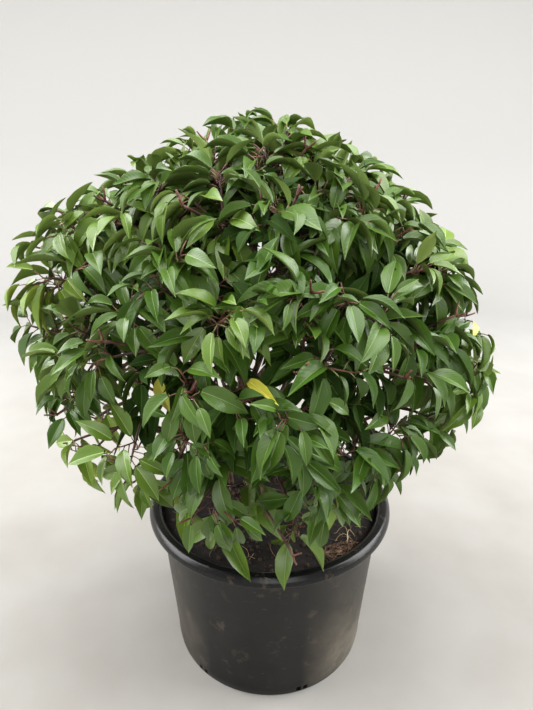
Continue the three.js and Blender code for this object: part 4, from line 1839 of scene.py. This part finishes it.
@dataclass
class PottingSoil:
    """The soil: a lumpy bed with crumbs, fibres and roots lying on it.

    Lengths are in metres, and the radii of fibres and roots in millimetres. Each of its lumps is a
    share, a size and a shift of the noise.
    """

    sides: int = 168
    rings: int = 46
    bed_radius: float = 0.1642
    foot_radius: float = 0.1462
    foot_height: float = 0.0053
    neck_height: float = 0.227
    top: float = 0.238
    edge_drop: float = 0.004
    edge_width: float = 0.016
    lump: float = 0.0045
    sink: float = 0.0012
    lumps: tuple = ((0.5, 0.038, (0, 0, 0)), (0.42, 0.013, (7, 3, 1)), (0.26, 0.0048, (2, 9, 4)))
    crumbs: int = 620
    crumb_margin: float = 0.008
    crumb_sizes: tuple[float, float, float] = (0.0009, 0.0026, 2.2)
    crumb_relief: tuple[float, float] = (0.35, 1.7)
    crumb_squash: tuple = ((0.6, 1.0), (0.55, 0.9))
    crumb_stand: float = 0.25
    fibres: int = 110
    fibre_rings: int = 7
    fibre_margin: float = 0.02
    fibre_lift: float = 0.0004
    fibre_arch: float = 0.0015
    fibre_bend: float = 1.6
    fibre_lengths: tuple[float, float] = (0.007, 0.03)
    fibre_radii: tuple[float, float] = (0.22, 0.5)
    clump: tuple[float, float] = (0.088, -0.119)
    clump_size: tuple[float, float, float] = (0.036, 0.014, 0.009)
    clump_fibres: int = 190
    clump_fill: float = 0.9
    clump_bearing: float = 1.4
    clump_bend: float = 2.6
    clump_lengths: tuple[float, float] = (0.007, 0.018)
    clump_slant: float = 0.014
    clump_lift: float = 0.0005
    clump_radii: tuple[float, float] = (0.25, 0.6)
    rootlets: int = 4
    rootlet_rings: int = 14
    rootlet_aside: float = 0.012
    rootlet_gaps: tuple[float, float] = (0.006, 0.005)
    rootlet_bearings: tuple[float, float] = (0.5, 0.9)
    rootlet_bend: float = 2.2
    rootlet_step: float = 0.0022
    rootlet_lift: float = 0.0006
    rootlet_arches: tuple[float, float] = (0.004, 0.015)
    rootlet_landing: float = 1.15
    rootlet_radii: tuple[float, float] = (0.5, 0.28)
    seed: int = 53

    def surface(self, x: float, y: float) -> float:
        """Works out the height of the bed at a place.

        Args:
            x: How far the place lies to the right of the pot's middle.
            y: How far it lies behind it.

        Returns:
            The height.
        """
        out = math.hypot(x, y)
        edge = max(0.0, (out - self.bed_radius + self.edge_width) / self.edge_width)
        place = Vector((x, y, 0))
        swell = sum(share * noise.noise(place / size + Vector(shift))
                    for share, size, shift in self.lumps)
        rise = self.lump * swell - self.sink
        return self.top - self.edge_drop * edge + rise * (1 - 0.6 * edge)

    def spot(self, margin: float, stream: Stream) -> tuple[float, float]:
        """Draws a place on the bed.

        Args:
            margin: How far it stays off the bed's edge.
            stream: Where it is drawn from.

        Returns:
            The place's x and y.
        """
        out = (self.bed_radius - margin) * math.sqrt(stream())
        turn = 2 * math.pi * stream()
        return out * math.cos(turn), out * math.sin(turn)

    def strand(
        self, spot: tuple[float, float], bearing: float, bend: float, step: float, lifts: Array
    ) -> Array:
        """Lays a strand over the bed.

        Args:
            spot: Where it starts.
            bearing: The direction that it starts in, in radians.
            bend: How far it turns on its way.
            step: The distance between its points.
            lifts: How high each of its points lies over the bed.

        Returns:
            Its points in millimetres.
        """
        x, y = spot
        path = []
        for s, lift in zip(np.linspace(0, 1, len(lifts)), lifts):
            path.append((x, y, self.surface(x, y) + lift))
            x += math.cos(bearing + bend * s) * step
            y += math.sin(bearing + bend * s) * step
        return np.array(path) / MM

    def bed(self) -> bpy.types.Object:
        """Models the body of soil with its lumpy top.

        Returns:
            The object.
        """
        profile = [(self.foot_radius, self.foot_height), (self.bed_radius, self.neck_height),
                   (self.bed_radius, self.top - self.edge_drop)]
        profile += [(self.bed_radius * (1 - i / self.rings), self.top)
                    for i in range(1, self.rings)]
        made = grow_rings("soil_bed", self.sides, profile)
        turn_faces_out()
        for vertex in made.data.vertices:
            if vertex.co.z > self.neck_height + 0.001:
                vertex.co.z = self.surface(vertex.co.x, vertex.co.y)
        bpy.ops.object.shade_smooth()
        return made

    def crumb_piece(self, stream: Stream) -> bpy.types.Object:
        """Scatters crumbs, each a copy of one rough lump.

        Args:
            stream: Where their places and sizes are drawn from.

        Returns:
            The object.
        """
        deselect()
        bpy.ops.mesh.primitive_ico_sphere_add(subdivisions=2, radius=1)
        lump = bpy.context.object
        relief, closeness = self.crumb_relief
        shape = np.array([tuple(v.co * (1 + relief * noise.noise(v.co * closeness)))
                          for v in lump.data.vertices])
        faces = np.array([tuple(p.vertices) for p in lump.data.polygons])
        bpy.data.objects.remove(lump)
        vertices, groups = [], []
        least, gain, power = self.crumb_sizes
        for i in range(self.crumbs):
            x, y = self.spot(self.crumb_margin, stream)
            size = least + gain * stream() ** power
            turn, tilt = (Matrix.Rotation(DEALT_TURN * stream(), 3, axis) for axis in "ZX")
            spin = np.array(turn @ tilt)
            squash = np.array([1.0] + [stream.between(*span) for span in self.crumb_squash])
            place = np.array((x, y, self.surface(x, y) + size * self.crumb_stand))
            vertices.append(((shape * squash) @ spin.T * size + place) / MM)
            groups.append(faces + i * len(shape))
        finish = PeatFinish("peat_crumb_dry", "2a2019", "46362a", "6d5844", 0.0016)
        return mesh_object("soil_crumbs", np.concatenate(vertices), [np.concatenate(groups)],
                           finish.build())

    def fibre_piece(self, stream: Stream) -> bpy.types.Object:
        """Lays bent fibres on the bed.

        Args:
            stream: Where their places and bends are drawn from.

        Returns:
            The object.
        """
        tubes, rings = Tubes(4), self.fibre_rings
        lifts = self.fibre_lift + self.fibre_arch * np.sin(math.pi * np.linspace(0, 1, rings))
        for _ in range(self.fibres):
            spot = self.spot(self.fibre_margin, stream)
            bearing = DEALT_TURN * stream()
            bend = stream.between(-self.fibre_bend, self.fibre_bend)
            step = stream.between(*self.fibre_lengths) / (rings - 1)
            radius = stream.between(*self.fibre_radii)
            tubes.add(self.strand(spot, bearing, bend, step, lifts),
                      np.linspace(radius, radius / 2, rings))
        return tube_object("soil_fibres", tubes, Strand.FIBRE)

    def clump_pieces(self, stream: Stream) -> list[bpy.types.Object]:
        """Heaps a torn clump of matted roots near the rim, with a few long rootlets over it.

        Args:
            stream: Where their places and bends are drawn from.

        Returns:
            The matted roots and the long rootlets.
        """
        wide, deep, high = self.clump_size
        matted, loose, rings = Tubes(4), Tubes(4), self.fibre_rings
        for _ in range(self.clump_fibres):
            out, turn = math.sqrt(stream()) * self.clump_fill, 2 * math.pi * stream()
            u, v = out * math.cos(turn), out * math.sin(turn)
            bearing = stream.between(-self.clump_bearing, self.clump_bearing)
            bend = stream.between(-self.clump_bend, self.clump_bend)
            length = stream.between(*self.clump_lengths)
            level, path = stream(), []
            for s in np.linspace(0, 1, rings):
                x = self.clump[0] + u * wide
                y = self.clump[1] + v * deep + u * self.clump_slant
                heap = high * level * max(0.0, 1 - u * u - v * v)
                path.append((x, y, self.surface(x, y) + self.clump_lift + heap))
                u += math.cos(bearing + bend * s) * length / wide / 6
                v += math.sin(bearing + bend * s) * length / deep / 9
            radius = stream.between(*self.clump_radii)
            matted.add(np.array(path) / MM, np.linspace(radius, radius / 2, rings))
        along = np.linspace(0, 1, self.rootlet_rings)
        arc = np.sin(math.pi * np.minimum(along * self.rootlet_landing, 1.0))
        first, turn = self.rootlet_bearings
        for number in range(self.rootlets):
            x, y = (at + self.rootlet_aside + gap * number
                    for at, gap in zip(self.clump, self.rootlet_gaps))
            lifts = self.rootlet_lift + self.rootlet_arches[number % 2] * arc
            path = self.strand((x, y), first + turn * number, self.rootlet_bend,
                               self.rootlet_step, lifts)
            loose.add(path, np.linspace(*self.rootlet_radii, self.rootlet_rings))
        return [tube_object("soil_root_clump", matted, Strand.MAT),
                tube_object("soil_rootlets", loose, Strand.ROOTLET)]

    def build(self) -> None:
        """Makes the bed, the crumbs, the fibres and the roots."""
        stream = Stream(self.seed)
        bed = self.bed()
        dress(bed, PeatFinish())
        for piece in (bed, self.crumb_piece(stream), self.fibre_piece(stream),
                      *self.clump_pieces(stream)):
            carry(piece, "soil", "soil")


@dataclass
class Studio:
    """The camera, the round floor with its upturned edge, and the soft lights.

    A light is a name, a place, the length of its side, its watts and its colour.
    """

    camera_place: tuple[float, float, float] = (-0.02589, -0.70338, 0.74708)
    pitch: float = 0.365
    yaw: float = 0.029
    roll: float = 0.003
    focal_pixels: float = 533.609
    picture_height: int = 710
    sensor: float = 36.0
    floor_sides: int = 96
    floor_middle: float = 0.4
    floor_radius: float = 2.2
    wall_radius: float = 3.0
    wall_height: float = 2.6
    curve_faces: int = 12
    lights: tuple = (
        ("ceiling_light", (-0.1, -0.1, 2.5), 2.1, 98.0, "fffefb"),
        ("left_light", (-2.1, 0.1, 1.6), 1.8, 104.0, "ffffff"),
        ("right_light", (2.1, 0.1, 1.6), 1.8, 112.0, "ffffff"),
        ("front_light", (0.2, -2.0, 1.4), 1.2, 16.0, "ffffff"),
    )
    aim: tuple[float, float, float] = (0.0, 0.0, 0.4)
    air: str = "f4f6f8"
    air_strength: float = 0.3

    def camera(self) -> None:
        """Sets up the camera at the photograph's angle."""
        sy, cy = math.sin(self.yaw), math.cos(self.yaw)
        sp, cp = math.sin(self.pitch), math.cos(self.pitch)
        forward = Vector((sy * cp, cy * cp, -sp))
        level = Vector((cy, -sy, 0))
        rise = level.cross(forward)
        right = level * math.cos(self.roll) + rise * math.sin(self.roll)
        up = rise * math.cos(self.roll) - level * math.sin(self.roll)
        data = bpy.data.cameras.new("camera")
        data.sensor_width = self.sensor
        data.sensor_fit = "AUTO"
        data.lens = self.focal_pixels * self.sensor / self.picture_height
        data.clip_start, data.clip_end = 0.01, 50
        made = bpy.data.objects.new("camera", data)
        made.matrix_world = (Matrix.Translation(self.camera_place)
                             @ Matrix((right, up, -forward)).transposed().to_4x4())
        bpy.context.scene.collection.objects.link(made)
        bpy.context.scene.camera = made

    def floor(self) -> None:
        """Makes the floor, which curves up into a low wall all round."""
        rise = self.wall_radius - self.floor_radius
        profile = [(self.floor_middle, 0.0), (self.floor_radius, 0.0)]
        for i in range(1, self.curve_faces + 1):
            turn = math.radians(90 * i / self.curve_faces)
            profile.append((self.floor_radius + rise * math.sin(turn), rise * (1 - math.cos(turn))))
        profile.append((self.wall_radius, self.wall_height))
        made = grow_rings("studio_floor", self.floor_sides, profile, from_edge=True)
        bpy.ops.object.mode_set(mode="OBJECT")
        bpy.ops.object.shade_smooth()
        dress(made, StudioFinish())

    def light(self, name: str, place: tuple[float, float, float], size: float, watts: float,
              colour: str) -> None:
        """Adds a square soft light that faces the plant.

        Args:
            name: Its name.
            place: Where it hangs.
            size: The length of its side.
            watts: Its power.
            colour: Its sRGB hex colour.
        """
        data = bpy.data.lights.new(name, "AREA")
        data.shape = "SQUARE"
        data.size = size
        data.energy = watts
        data.color = srgb(colour)[:3]
        made = bpy.data.objects.new(name, data)
        aim = Vector(self.aim) - Vector(place)
        made.location = place
        made.rotation_euler = aim.to_track_quat("-Z", "Y").to_euler()
        bpy.context.scene.collection.objects.link(made)

    def build(self) -> None:
        """Sets up the camera, the floor, the lights and the pale surroundings."""
        self.camera()
        self.floor()
        for name, place, size, watts, colour in self.lights:
            self.light(name, place, size, watts, colour)
        world = bpy.data.worlds.new("pale_room")
        bpy.context.scene.world = world
        world.use_nodes = True
        world.node_tree.nodes.clear()
        pale = add_node(world.node_tree, "ShaderNodeBackground",
                        values={"Color": srgb(self.air), "Strength": self.air_strength})
        add_node(world.node_tree, "ShaderNodeOutputWorld", links={"Surface": pale.outputs[0]})
        bpy.context.scene.view_settings.view_transform = "Standard"


def main() -> None:
    """Builds the studio, the pot, the soil, the foliage and the limbs."""
    logging.basicConfig(level=logging.INFO, format="%(name)s: %(message)s")
    Studio().build()
    NurseryPot().build()
    PottingSoil().build()
    plan = CrownPlan()
    foliage = Foliage(plan)
    foliage.build()
    Limbs(plan).build(foliage.branches)


if __name__ == "__main__":
    main()
